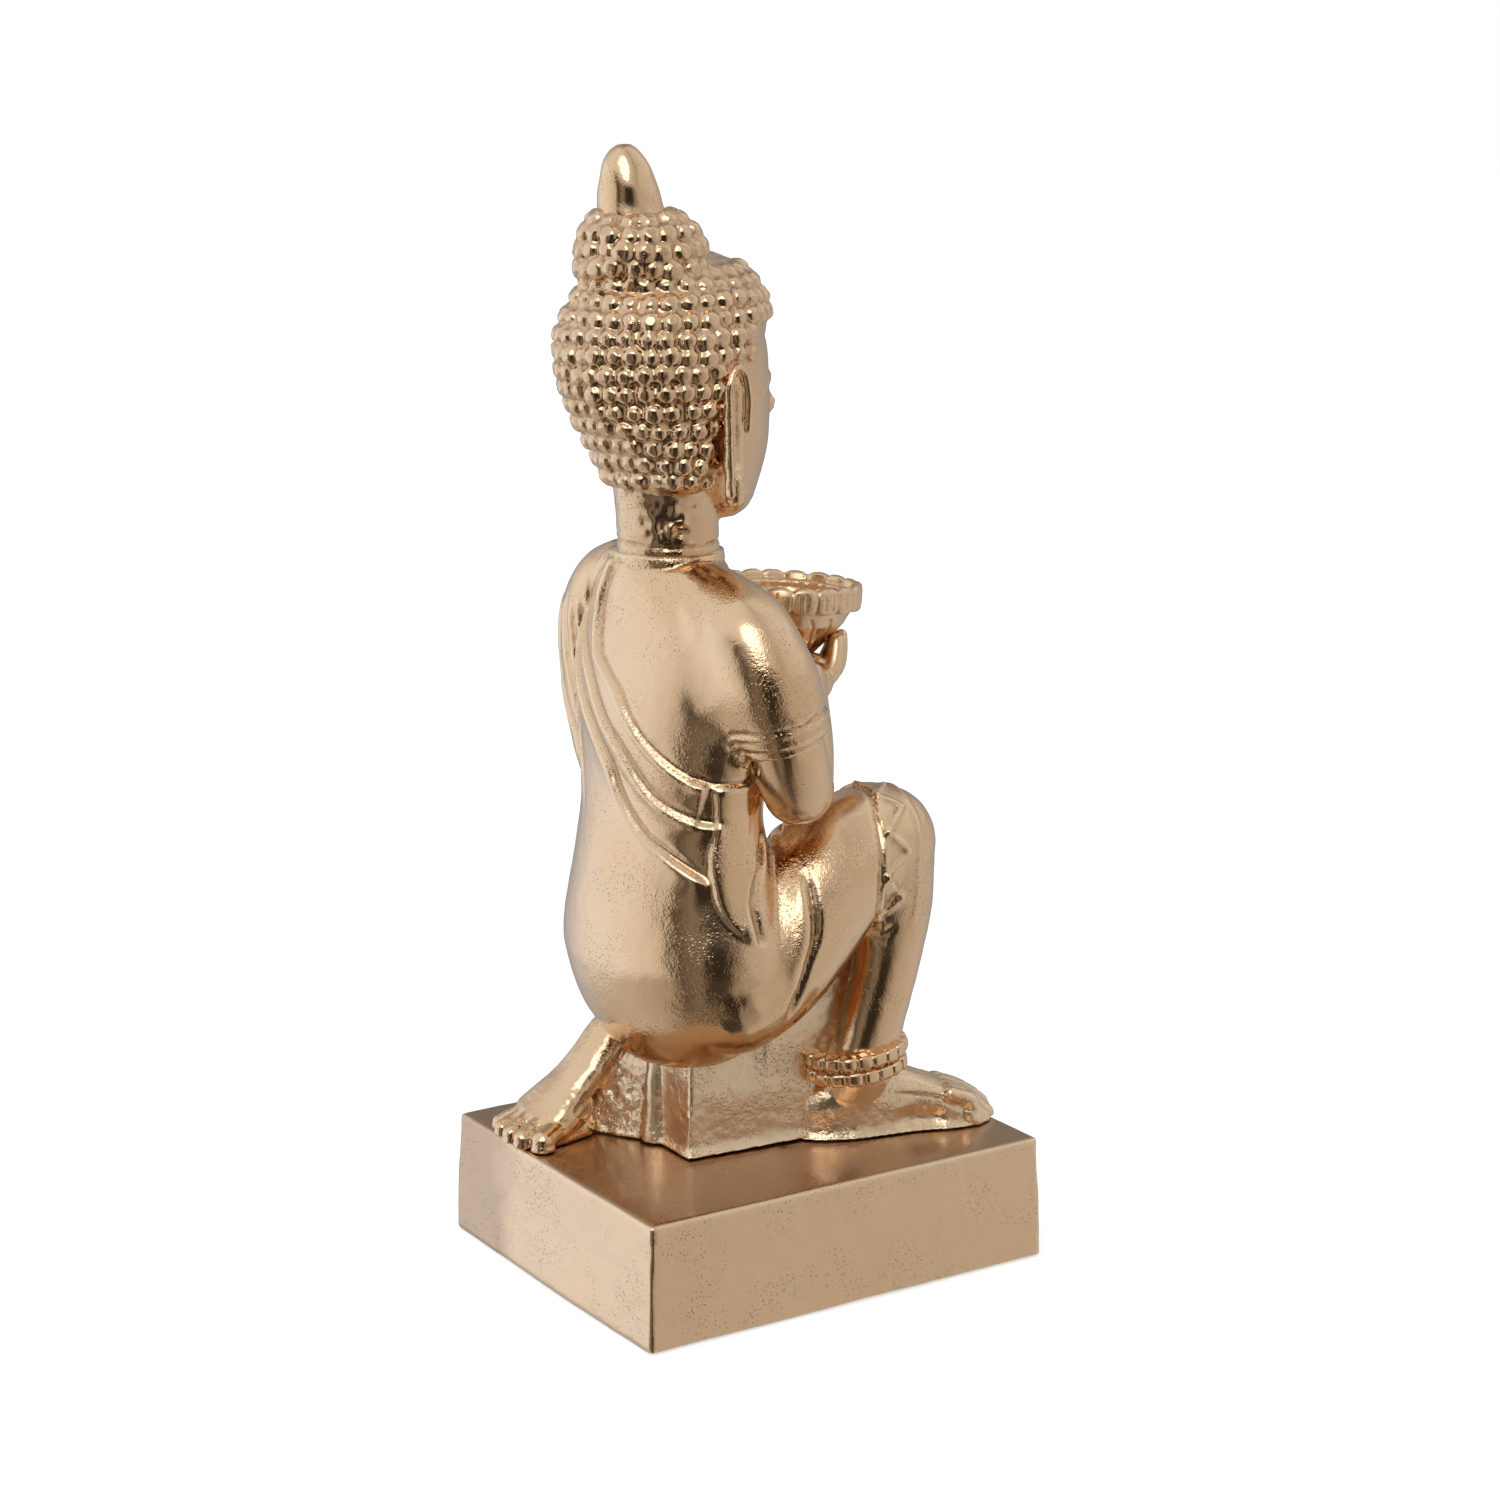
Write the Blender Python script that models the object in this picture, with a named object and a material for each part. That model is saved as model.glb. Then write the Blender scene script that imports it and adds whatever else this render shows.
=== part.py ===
"""Kneeling figure with an offering bowl: an aluminium statue cast in sections, pinned together and bolted
to a hollow plinth. The figure faces -Y, its right side is -X, and the origin is on the ground under the
middle of the plinth. Tables are in millimetres and are turned into metres where a mesh is made."""

import math

import bmesh
import bpy
from mathutils import Matrix, Vector

MM = 0.001

# Driving sizes, mm
HEIGHT = 400.0
PLINTH_WIDTH, PLINTH_LENGTH, PLINTH_TOP = 140.4, 167.6, 45.7
PLINTH_DRAFT = 1.4        # each side leans in by this much from bottom to top
PLINTH_LIFT = 0.3         # the felt pads hold the rim this far off the ground
WALL = 5.0                # casting wall of the plinth
GAP = 0.3                 # between two castings that touch
SEAT_TOP = 84.0
NECK_JOINT = 262.0
FIGURE_BASE = PLINTH_TOP + GAP

# Horizontal sections, from bottom to top: height, middle across, middle along, half width, back, front
TORSO = [
    (77, 0, 30, 10, 9, 9), (81, 0, 29, 26, 18.5, 19), (90, 0, 28, 38, 26.5, 27), (99, 0, 28, 45, 31.5, 32),
    (112, 0, 27, 51, 36, 35), (125, 0, 27, 53, 37, 35), (150, 0, 28, 47, 33, 32),
    (172, 0, 29, 42.5, 29, 29), (195, 0, 28, 45, 29.5, 29), (212, 0, 27, 48.5, 30.5, 28),
    (228, 0, 26, 50.5, 28.5, 21), (240, 0, 27, 46.5, 25, 16), (250, 0, 30, 33, 21.5, 18.5),
    (258, 0, 31, 22, 19.5, 19), (268, 0, 31, 18.8, 18.8, 19),
]
NECK = [(250, 0, 31, 18.3, 18.3, 18.3), (272, 0, 31.5, 17.6, 17.6, 18), (290, 0, 33, 18.5, 18, 20)]
HAIR = [
    (283, 0, 35, 20, 14.5, 11), (286, 0, 34, 25.5, 18.5, 15), (292, 0, 33, 28, 22.5, 17),
    (305, 0, 33, 31.5, 30.5, 21), (319, 0, 33, 34.5, 36.5, 27), (332, 0, 33, 35.5, 38.5, 36),
    (341, 0, 33, 34, 37, 39), (350, 0, 32, 30, 32.5, 36.5), (358, 0, 31, 22, 25, 30), (363, 0, 29, 11, 14, 18),
]
FACE = [
    (272, 0, 14, 8, 8, 9), (276, 0, 16, 15, 12, 15), (284, 0, 19, 20, 16, 21), (296, 0, 22, 25, 20, 27),
    (308, 0, 23, 28, 20, 28), (320, 0, 24, 29.5, 20, 28.5), (334, 0, 26, 29.5, 20, 29),
    (344, 0, 28, 26, 20, 26),
]
USHNISHA = [
    (348, 0, 40, 19, 19, 19), (356, 0, 41, 23, 22.5, 22.5), (366, 0, 41, 23, 22.5, 22.5),
    (374, 0, 42, 19.5, 19, 19), (379.5, 0, 43, 12.5, 12.5, 12.5),
]
FINIAL = [
    (375.5, 0, 45, 12, 12, 12), (380, 0, 45.2, 11, 11, 11), (386, 0, 46, 9.9, 9.9, 9.9),
    (392.5, 0, 46.8, 8, 8, 8), (397, 0, 47.3, 5.4, 5.4, 5.4), (399.4, 0, 47.5, 2.8, 2.8, 2.8),
    (HEIGHT, 0, 47.5, 1, 1, 1),
]
EAR = [
    (279.5, 30.5, 23, 1.6, 3, 3), (285, 32, 23, 3, 5.2, 5.2), (293, 33, 23.4, 2.8, 4.8, 4.8),
    (303, 33.5, 23.6, 2.6, 4.8, 5), (314, 34.5, 23.8, 3.2, 6.5, 6.5), (322, 34.5, 24, 3, 6, 6),
    (326.5, 33.5, 24, 1.6, 3, 3),
]

# Limbs, from one end to the other: across, along, height, half width, half depth. The arms mirror; the legs
# differ, because the figure kneels on its left knee with the right knee raised.
SHOULDER = [
    (22, 29, 246, 14, 14), (40, 27, 239, 16, 16), (46, 25, 231, 17, 17), (50, 22, 220, 17.5, 17.5),
    (50, 18, 209, 15.5, 15.5),
]
ROBE_DRAPE = [
    (21, 35, 253, 11, 11), (33, 35, 244, 14.5, 14), (41, 34.5, 230, 15, 14.5), (41.5, 35, 212, 14, 13.5),
    (39, 35, 198, 13, 12.8), (36, 34.5, 184, 12, 12), (31, 33, 168, 10, 10), (26, 32, 154, 9, 9),
]
UPPER_ARM = [
    (50, 18.5, 209, 9.5, 9.5), (49.5, 16, 203, 13, 13), (48, 12, 194, 13.5, 13.5), (44, 6, 181, 12.5, 12.5),
]
FOREARM = [
    (44, 6, 181, 12.5, 12.5), (36, 0, 195, 11.5, 11.5), (28, -6, 207, 9.5, 9.5), (21, -11, 214, 8.5, 8),
]
HAND = [
    (21, -11, 214, 8.5, 8), (14, -20, 218.5, 11, 6), (10.5, -28, 222, 8.5, 4.5), (8.5, -35, 227, 6.5, 2.5),
]
RIGHT_THIGH = [
    (-25, 24, 112, 28.5, 27), (-28, 11, 121, 27, 27), (-30, -12, 141.5, 24, 24.5),
    (-30, -30, 153.5, 21, 21.8), (-30, -38, 154.5, 20.3, 20.3),
]
RIGHT_SHIN = [
    (-30, -38, 152, 20.3, 20.3), (-31, -42, 130, 15.2, 15.7), (-31, -40.5, 110, 12, 13),
    (-30, -36, 90, 11, 12.5), (-29, -33, 76, 11, 13),
]
LEFT_THIGH = [(26, 22, 108, 27, 28), (30, 0, 92, 25, 25), (34, -25, 74, 21, 21), (36, -42, 66, 19, 19.5)]
LEFT_SHIN = [(36, -42, 65, 18, 18.5), (36, -10, 60, 14, 14.5), (33, 22, 61, 12.5, 13), (30, 42, 68, 10.5, 11)]
RIGHT_FOOT = [
    (-17, -19, 56.5, 10, 10.5), (-21, -30, 60, 12, 14), (-26, -47, 59, 13, 12.5), (-31, -63, 54.5, 14, 9),
    (-35.5, -76.5, 50, 12, 5),
]
RIGHT_ANKLE = [(-26, -30, 60, 11, 14), (-28, -31.5, 74, 9, 11.5), (-28.5, -32.5, 84, 8, 9)]
LEFT_FOOT = [
    (28, 42, 79, 9, 8.5), (28, 52, 69, 9.5, 8), (29, 62, 58.5, 12.5, 7.5), (29.5, 70, 52, 17.5, 7),
    (29.5, 77, 49, 19.5, 4),
]

BOWL_AXIS = (0.0, -17.5)
BOWL_TILT = 4.0           # degrees, its front edge lower
# Radius and height, from the middle of the underside, over the rim, to the middle of the floor
BOWL_PROFILE = [
    (0, 220.5), (10.5, 220.5), (12, 222), (17, 227), (22, 233.5), (24, 237.5), (26.3, 239.5),
    (26.7, 246.5), (23.5, 247), (21, 240), (17, 233.5), (11, 228), (0, 227),
]
ANKLET = {
    "middle": (-27.5, -30.0), "half_width": 14.5, "half_length": 18.0, "bottom": 69.0, "top": 79.5,
    "wall": 3.2, "slope": 0.08,
}
WEB = {"low": (-25.0, -35.0, FIGURE_BASE), "high": (-6.0, 5.0, 128.0)}
SEAT = {"half_width": 19.0, "rear": 36.0, "front": -18.0, "draft": 1.2}

# Hardware, mm
PIN_CLEARANCE = 0.3
BOLT_RADIUS, BOLT_HEAD, BOLT_HEAD_HEIGHT = 3.0, 5.8, 4.0
WASHER_RADIUS, WASHER_THICKNESS = 6.5, 1.2
PAD_RADIUS, PAD_THICKNESS, PAD_INSET = 8.0, 2.0, 15.0
# Across, along, bottom, top and radius
PINS = {
    "neck_pin": (0, 31, 250, 280, 4.0),
    "finial_pin": (0, 45, 368, 386, 2.5),
    "right_arm_pin": (-49.8, 17.5, 204, 228, 3.0),
    "left_arm_pin": (49.8, 17.5, 204, 228, 3.0),
    "right_bowl_dowel": (-7.5, -19, 216, 223.8, 1.5),
    "left_bowl_dowel": (7.5, -19, 216, 223.8, 1.5),
}
# Across, along and top of each bolt up through the plinth
BOLTS = {
    "seat_rear": (0, 27, 70),
    "seat_front": (0, -9, 70),
    "right_foot": (-24, -42, 58),
    "left_knee": (35, -38, 64),
    "left_foot": (29, 63, 58),
}


def clear_scene():
    for obj in list(bpy.data.objects):
        bpy.data.objects.remove(obj)


def material(name, colour, roughness, metallic):
    made = bpy.data.materials.new(name)
    made.use_nodes = True
    shader = made.node_tree.nodes["Principled BSDF"]
    shader.inputs["Base Color"].default_value = (*colour, 1)
    shader.inputs["Roughness"].default_value = roughness
    shader.inputs["Metallic"].default_value = metallic
    return made


def add_object(name, mesh, finish=None):
    obj = bpy.data.objects.new(name, mesh)
    bpy.context.scene.collection.objects.link(obj)
    if finish:
        mesh.materials.clear()
        mesh.materials.append(finish)
        mesh.shade_smooth()
        mesh.set_sharp_from_angle(angle=math.radians(35))
    return obj


def to_mesh(bm, name):
    mesh = bpy.data.meshes.new(name)
    bmesh.ops.recalc_face_normals(bm, faces=bm.faces)
    bm.to_mesh(mesh)
    bm.free()
    return mesh


def in_between(table, steps):
    """Stations along a smooth curve through the table's rows, with steps of them for each row."""
    rows = [table[0], *table, table[-1]]
    made = []
    for i in range(1, len(rows) - 2):
        for k in range(steps):
            t = k / steps
            weights = (-t + 2 * t ** 2 - t ** 3, 2 - 5 * t ** 2 + 3 * t ** 3,
                       t + 4 * t ** 2 - 3 * t ** 3, -t ** 2 + t ** 3)
            made.append(tuple(sum(w * v for w, v in zip(weights, values)) / 2
                              for values in zip(*rows[i - 1:i + 3])))
    return [*made, tuple(table[-1])]


def bridge(bm, rings):
    """Joins rings of vertices into one closed skin with flat ends."""
    around = len(rings[0])
    for low, high in zip(rings, rings[1:]):
        for i in range(around):
            j = (i + 1) % around
            bm.faces.new((low[i], low[j], high[j], high[i]))
    bm.faces.new(reversed(rings[0]))
    bm.faces.new(rings[-1])


def stack(bm, table, steps=3, around=28):
    """A skin through horizontal sections, each an ellipse with its own depth behind and in front."""
    rings = []
    for z, x, y, half, back, front in in_between(table, steps):
        ring = []
        for i in range(around):
            a = math.tau * i / around
            depth = back if math.sin(a) > 0 else front
            ring.append(bm.verts.new(Vector((x + half * math.cos(a), y + depth * math.sin(a), z)) * MM))
        rings.append(ring)
    bridge(bm, rings)


def tube(bm, table, steps=3, around=18, side=(1, 0, 0), mirror=False):
    """A limb through its stations: ellipses square to the limb's line, with rounded ends."""
    rows = in_between(table, steps)
    flip = -1 if mirror else 1
    points = [Vector((r[0] * flip, r[1], r[2])) for r in rows]
    radii = [(max(r[3], 0.5), max(r[4], 0.5)) for r in rows]
    last = len(points) - 1
    tangents = [(points[min(i + 1, last)] - points[max(i - 1, 0)]).normalized() for i in range(last + 1)]
    stations = []
    for turn in (75, 50, 25):
        away, size = math.sin(math.radians(turn)), math.cos(math.radians(turn))
        stations.append((points[0] - tangents[0] * away * min(radii[0]), tangents[0], radii[0], size))
    stations += [(p, t, r, 1.0) for p, t, r in zip(points, tangents, radii)]
    for turn in (25, 50, 75):
        away, size = math.sin(math.radians(turn)), math.cos(math.radians(turn))
        stations.append((points[-1] + tangents[-1] * away * min(radii[-1]), tangents[-1], radii[-1], size))
    rings = []
    for point, tangent, (wide, deep), size in stations:
        across = Vector(side) - tangent * tangent.dot(Vector(side))
        across.normalize()
        up = tangent.cross(across)
        ring = []
        for i in range(around):
            a = math.tau * i / around
            out = across * wide * math.cos(a) + up * deep * math.sin(a)
            ring.append(bm.verts.new((point + size * out) * MM))
        rings.append(ring)
    bridge(bm, rings)


def box(bm, low, high, draft=0.0):
    """A block whose sides lean in by draft from bottom to top."""
    made = bmesh.ops.create_cube(bm, size=1)["verts"]
    middle = (Vector(low) + Vector(high)) / 2
    size = Vector(high) - Vector(low)
    for vert in made:
        top = vert.co.z > 0
        vert.co = Vector((vert.co.x * (size.x - 2 * draft * top), vert.co.y * (size.y - 2 * draft * top),
                          vert.co.z * size.z)) + middle
        vert.co *= MM


def rod(bm, x, y, low, high, radius, segments=16):
    place = Matrix.Translation(Vector((x, y, (low + high) / 2)) * MM)
    bmesh.ops.create_cone(bm, cap_ends=True, segments=segments, radius1=radius * MM, radius2=radius * MM,
                          depth=(high - low) * MM, matrix=place)


def rod_cutter(x, y, low, high, radius):
    bm = bmesh.new()
    rod(bm, x, y, low, high, radius)
    return to_mesh(bm, "drill")


def baked(obj):
    """The object's mesh with its modifiers applied; the object itself is removed."""
    graph = bpy.context.evaluated_depsgraph_get()
    mesh = bpy.data.meshes.new_from_object(obj.evaluated_get(graph))
    bpy.data.objects.remove(obj)
    return mesh


def fused(bm, name, voxel, relax, triangles):
    """One cast body from overlapping skins: remeshed together, relaxed so that they flow into each other, and
    thinned to about the number of triangles asked for."""
    obj = add_object(name, to_mesh(bm, name))
    remesh = obj.modifiers.new("fuse", "REMESH")
    remesh.mode = "VOXEL"
    remesh.voxel_size = voxel * MM
    smooth = obj.modifiers.new("relax", "SMOOTH")
    smooth.factor = 0.5
    smooth.iterations = relax
    mesh = baked(obj)
    thin = add_object(name, mesh)
    decimate = thin.modifiers.new("thin", "DECIMATE")
    decimate.ratio = min(1.0, triangles / (2 * len(mesh.polygons)))
    return baked(thin)


def grown(mesh, by):
    """A copy of a mesh with its skin moved out by a clearance, for cutting a seat for it."""
    bm = bmesh.new()
    bm.from_mesh(mesh)
    bm.normal_update()
    moves = [vert.normal * by * MM for vert in bm.verts]
    for vert, move in zip(bm.verts, moves):
        vert.co += move
    copy = bpy.data.meshes.new("clearance")
    bm.to_mesh(copy)
    bm.free()
    return copy


def largest_body(mesh):
    """Drops the crumbs that a cut leaves behind."""
    bm = bmesh.new()
    bm.from_mesh(mesh)
    bmesh.ops.remove_doubles(bm, verts=bm.verts, dist=0.002 * MM)
    left, bodies = set(bm.verts), []
    while left:
        todo = [left.pop()]
        body = set(todo)
        while todo:
            for edge in todo.pop().link_edges:
                for vert in edge.verts:
                    if vert in left:
                        left.remove(vert)
                        body.add(vert)
                        todo.append(vert)
        bodies.append(body)
    keep = max(bodies, key=len)
    bmesh.ops.delete(bm, geom=[v for v in bm.verts if v not in keep], context="VERTS")
    bmesh.ops.triangulate(bm, faces=bm.faces)
    bm.to_mesh(mesh)
    bm.free()
    return mesh


def cut(mesh, *cutters, operation="DIFFERENCE"):
    """The mesh with each cutter taken from it, or joined to it, in turn."""
    for cutter in cutters:
        tool = add_object("tool", cutter)
        obj = add_object("blank", mesh)
        boolean = obj.modifiers.new("cut", "BOOLEAN")
        boolean.object = tool
        boolean.operation = operation
        boolean.solver = "EXACT"
        mesh = baked(obj)
        bpy.data.objects.remove(tool)
    return largest_body(mesh)


def bowl_mesh():
    bm = bmesh.new()
    x, y = BOWL_AXIS
    verts = [bm.verts.new(Vector((x + r, y, z)) * MM) for r, z in BOWL_PROFILE]
    edges = [bm.edges.new(pair) for pair in zip(verts, verts[1:])]
    bmesh.ops.spin(bm, geom=verts + edges, cent=Vector((x, y, 0)) * MM, axis=(0, 0, 1), angle=math.tau,
                   steps=28, use_merge=True)
    bmesh.ops.remove_doubles(bm, verts=bm.verts, dist=0.01 * MM)
    bmesh.ops.rotate(bm, verts=bm.verts, cent=Vector((x, y, 228)) * MM,
                     matrix=Matrix.Rotation(math.radians(BOWL_TILT), 3, "X"))
    return to_mesh(bm, "bowl")


def anklet_mesh():
    """An oval band with its inner side left open for the leg."""
    bm = bmesh.new()
    x, y = ANKLET["middle"]
    middle = (ANKLET["bottom"] + ANKLET["top"]) / 2
    half = (ANKLET["top"] - ANKLET["bottom"]) / 2
    section = [(-ANKLET["wall"], -half), (0, -half), (1.2, -half * 0.5), (1.2, half * 0.5), (0, half),
               (-ANKLET["wall"], half)]
    rings = []
    around = 24
    rise = ANKLET["slope"] * ANKLET["half_length"]
    for i in range(around):
        a = math.tau * i / around
        rings.append([bm.verts.new(Vector((
            x + (ANKLET["half_width"] + out) * math.cos(a), y + (ANKLET["half_length"] + out) * math.sin(a),
            middle + up - rise * math.sin(a))) * MM) for out, up in section])
    for i in range(around):
        a, b = rings[i], rings[(i + 1) % around]
        for k in range(len(section)):
            m = (k + 1) % len(section)
            bm.faces.new((a[k], b[k], b[m], a[m]))
    return to_mesh(bm, "anklet")


def plinth_mesh():
    bm = bmesh.new()
    half_w, half_l = PLINTH_WIDTH / 2, PLINTH_LENGTH / 2
    box(bm, (-half_w, -half_l, PLINTH_LIFT), (half_w, half_l, PLINTH_TOP), PLINTH_DRAFT)
    rim = [e for e in bm.edges if all(v.co.z < PLINTH_LIFT * MM + 1e-6 for v in e.verts)]
    rounded = [e for e in bm.edges if e not in rim]
    bmesh.ops.bevel(bm, geom=rounded, offset=1.0 * MM, segments=2, affect="EDGES", profile=0.5)
    body = to_mesh(bm, "plinth")
    bm = bmesh.new()
    inner_w, inner_l = half_w - WALL, half_l - WALL
    box(bm, (-inner_w, -inner_l, -5), (inner_w, inner_l, PLINTH_TOP - WALL), PLINTH_DRAFT)
    body = cut(body, to_mesh(bm, "cavity"))
    low, high = PAD_THICKNESS + GAP, PLINTH_TOP - WALL / 2
    for sx in (-1, 1):
        for sy in (-1, 1):
            bm = bmesh.new()
            rod(bm, sx * (half_w - PAD_INSET), sy * (half_l - PAD_INSET), low, high, PAD_RADIUS + 1.5, segments=20)
            gusset = bmesh.new()
            x_sides = sorted((sx * (half_w - PAD_INSET), sx * (half_w - WALL / 2)))
            y_sides = sorted((sy * (half_l - PAD_INSET), sy * (half_l - WALL / 2)))
            box(gusset, (x_sides[0], y_sides[0], low), (x_sides[1], y_sides[1], high), PLINTH_DRAFT / 2)
            body = cut(body, to_mesh(bm, "boss"), to_mesh(gusset, "gusset"), operation="UNION")
    for x, y, _ in BOLTS.values():
        body = cut(body, rod_cutter(x, y, PLINTH_TOP - 3 * WALL, PLINTH_TOP + 5, BOLT_RADIUS + PIN_CLEARANCE))
    return body


def bolt_hole(name):
    x, y, top = BOLTS[name]
    return rod_cutter(x, y, 0, top + 2, BOLT_RADIUS + PIN_CLEARANCE)


def pin_hole(name):
    x, y, low, high, radius = PINS[name]
    return rod_cutter(x, y, low - 2 * GAP, high + 2 * GAP, radius + PIN_CLEARANCE)


def slab_cutter(low, high):
    """Everything between two heights."""
    bm = bmesh.new()
    box(bm, (-200, -200, low), (200, 200, high))
    return to_mesh(bm, "slab")


def head_mesh():
    bm = bmesh.new()
    for table in (NECK, HAIR, FACE, USHNISHA):
        stack(bm, table)
    return fused(bm, "head", 2.2, 3, 1500)


def ear_mesh(side):
    bm = bmesh.new()
    stack(bm, [(z, x * side, *rest) for z, x, *rest in EAR], steps=1, around=10)
    return to_mesh(bm, "ear")


def finial_mesh():
    bm = bmesh.new()
    stack(bm, FINIAL, steps=1, around=20)
    return to_mesh(bm, "finial")


def arm_mesh(side):
    bm = bmesh.new()
    for table in (UPPER_ARM, FOREARM, HAND):
        tube(bm, table, mirror=side < 0)
    return fused(bm, "arm", 1.6, 3, 560)


def right_foot_mesh():
    bm = bmesh.new()
    tube(bm, RIGHT_FOOT, side=(1, -0.3, 0))
    tube(bm, RIGHT_ANKLE)
    return fused(bm, "right_foot", 1.6, 3, 460)


def left_foot_mesh():
    bm = bmesh.new()
    tube(bm, LEFT_FOOT)
    return fused(bm, "left_foot", 1.6, 3, 420)


def body_mesh():
    bm = bmesh.new()
    stack(bm, TORSO)
    tube(bm, SHOULDER, mirror=True)
    for table in (SHOULDER, ROBE_DRAPE, RIGHT_THIGH, RIGHT_SHIN, LEFT_THIGH, LEFT_SHIN):
        tube(bm, table)
    return fused(bm, "body", 2.4, 4, 2400)


def seat_mesh():
    """The block under the hips, with the slab that runs forward between the right thigh and shin."""
    half = SEAT["half_width"]
    bm = bmesh.new()
    box(bm, (-half, SEAT["front"], FIGURE_BASE), (half, SEAT["rear"], SEAT_TOP), SEAT["draft"])
    web = bmesh.new()
    box(web, WEB["low"], WEB["high"], 1.0)
    return cut(to_mesh(bm, "seat"), to_mesh(web, "web"), operation="UNION")


def build_castings(gold):
    """Each casting gives way to those that are seated in it, with a gap all round."""
    bowl = bowl_mesh()
    ears = {side: ear_mesh(side) for side in (-1, 1)}
    finial = finial_mesh()
    right_foot = cut(right_foot_mesh(), slab_cutter(0, FIGURE_BASE))
    left_foot = cut(left_foot_mesh(), slab_cutter(0, FIGURE_BASE))
    arms = {side: cut(arm_mesh(side), grown(bowl, GAP)) for side in (-1, 1)}
    head = cut(head_mesh(), slab_cutter(200, NECK_JOINT + GAP / 2), grown(ears[-1], GAP), grown(ears[1], GAP),
               grown(finial, GAP), pin_hole("neck_pin"), pin_hole("finial_pin"))
    body = cut(body_mesh(), slab_cutter(0, FIGURE_BASE), slab_cutter(NECK_JOINT - GAP / 2, 300),
               grown(arms[-1], GAP), grown(arms[1], GAP), grown(right_foot, GAP), grown(left_foot, GAP))
    seat = cut(seat_mesh(), grown(body, GAP), grown(left_foot, GAP), grown(right_foot, GAP))
    anklet = cut(anklet_mesh(), grown(right_foot, GAP), grown(body, GAP), grown(seat, GAP))
    body = cut(body, bolt_hole("left_knee"), pin_hole("neck_pin"), pin_hole("right_arm_pin"),
               pin_hole("left_arm_pin"))
    finished = {
        "plinth": plinth_mesh(),
        "seat_block": cut(seat, bolt_hole("seat_rear"), bolt_hole("seat_front")),
        "body": body,
        "head": head,
        "finial": cut(finial, pin_hole("finial_pin")),
        "right_ear": ears[-1],
        "left_ear": ears[1],
        "right_arm": cut(arms[-1], pin_hole("right_arm_pin"), pin_hole("right_bowl_dowel")),
        "left_arm": cut(arms[1], pin_hole("left_arm_pin"), pin_hole("left_bowl_dowel")),
        "bowl": cut(bowl, pin_hole("right_bowl_dowel"), pin_hole("left_bowl_dowel")),
        "right_foot": cut(right_foot, bolt_hole("right_foot")),
        "left_foot": cut(left_foot, bolt_hole("left_foot")),
        "anklet": anklet,
    }
    for name, mesh in finished.items():
        add_object(name, mesh, gold)


def build_pins(steel):
    for name, (x, y, low, high, radius) in PINS.items():
        bm = bmesh.new()
        rod(bm, x, y, low, high, radius)
        add_object(name, to_mesh(bm, name), steel)


def build_fasteners(steel):
    under_plate = PLINTH_TOP - WALL
    for name, (x, y, top) in BOLTS.items():
        bm = bmesh.new()
        low, high = under_plate - GAP - WASHER_THICKNESS, under_plate - GAP
        rod(bm, x, y, low, high, WASHER_RADIUS, segments=16)
        washer = cut(to_mesh(bm, "washer"), rod_cutter(x, y, low - 2, high + 2, BOLT_RADIUS + PIN_CLEARANCE))
        add_object(f"washer_{name}", washer, steel)
        bm = bmesh.new()
        rod(bm, x, y, low - GAP - BOLT_HEAD_HEIGHT, low - GAP, BOLT_HEAD, segments=6)
        head = to_mesh(bm, "bolt_head")
        bm = bmesh.new()
        rod(bm, x, y, low - GAP - BOLT_HEAD_HEIGHT / 2, top, BOLT_RADIUS)
        add_object(f"bolt_{name}", cut(head, to_mesh(bm, "shank"), operation="UNION"), steel)


def build_pads(felt):
    half_w, half_l = PLINTH_WIDTH / 2 - PAD_INSET, PLINTH_LENGTH / 2 - PAD_INSET
    corners = {"front_right": (-1, -1), "front_left": (1, -1), "rear_right": (-1, 1), "rear_left": (1, 1)}
    for name, (sx, sy) in corners.items():
        bm = bmesh.new()
        rod(bm, sx * half_w, sy * half_l, 0, PAD_THICKNESS, PAD_RADIUS, segments=20)
        add_object(f"felt_pad_{name}", to_mesh(bm, name), felt)


clear_scene()
gold_metal = material("gold_cast_aluminium", (0.72, 0.50, 0.29), 0.28, 1.0)
zinc_steel = material("zinc_steel", (0.62, 0.62, 0.60), 0.35, 1.0)
dark_felt = material("felt", (0.05, 0.045, 0.04), 0.95, 0.0)
build_castings(gold_metal)
build_pins(zinc_steel)
build_fasteners(zinc_steel)
build_pads(dark_felt)
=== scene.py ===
import math

import bmesh
import bpy
import numpy as np
from mathutils import Matrix, Vector, noise
from mathutils.bvhtree import BVHTree


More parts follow.
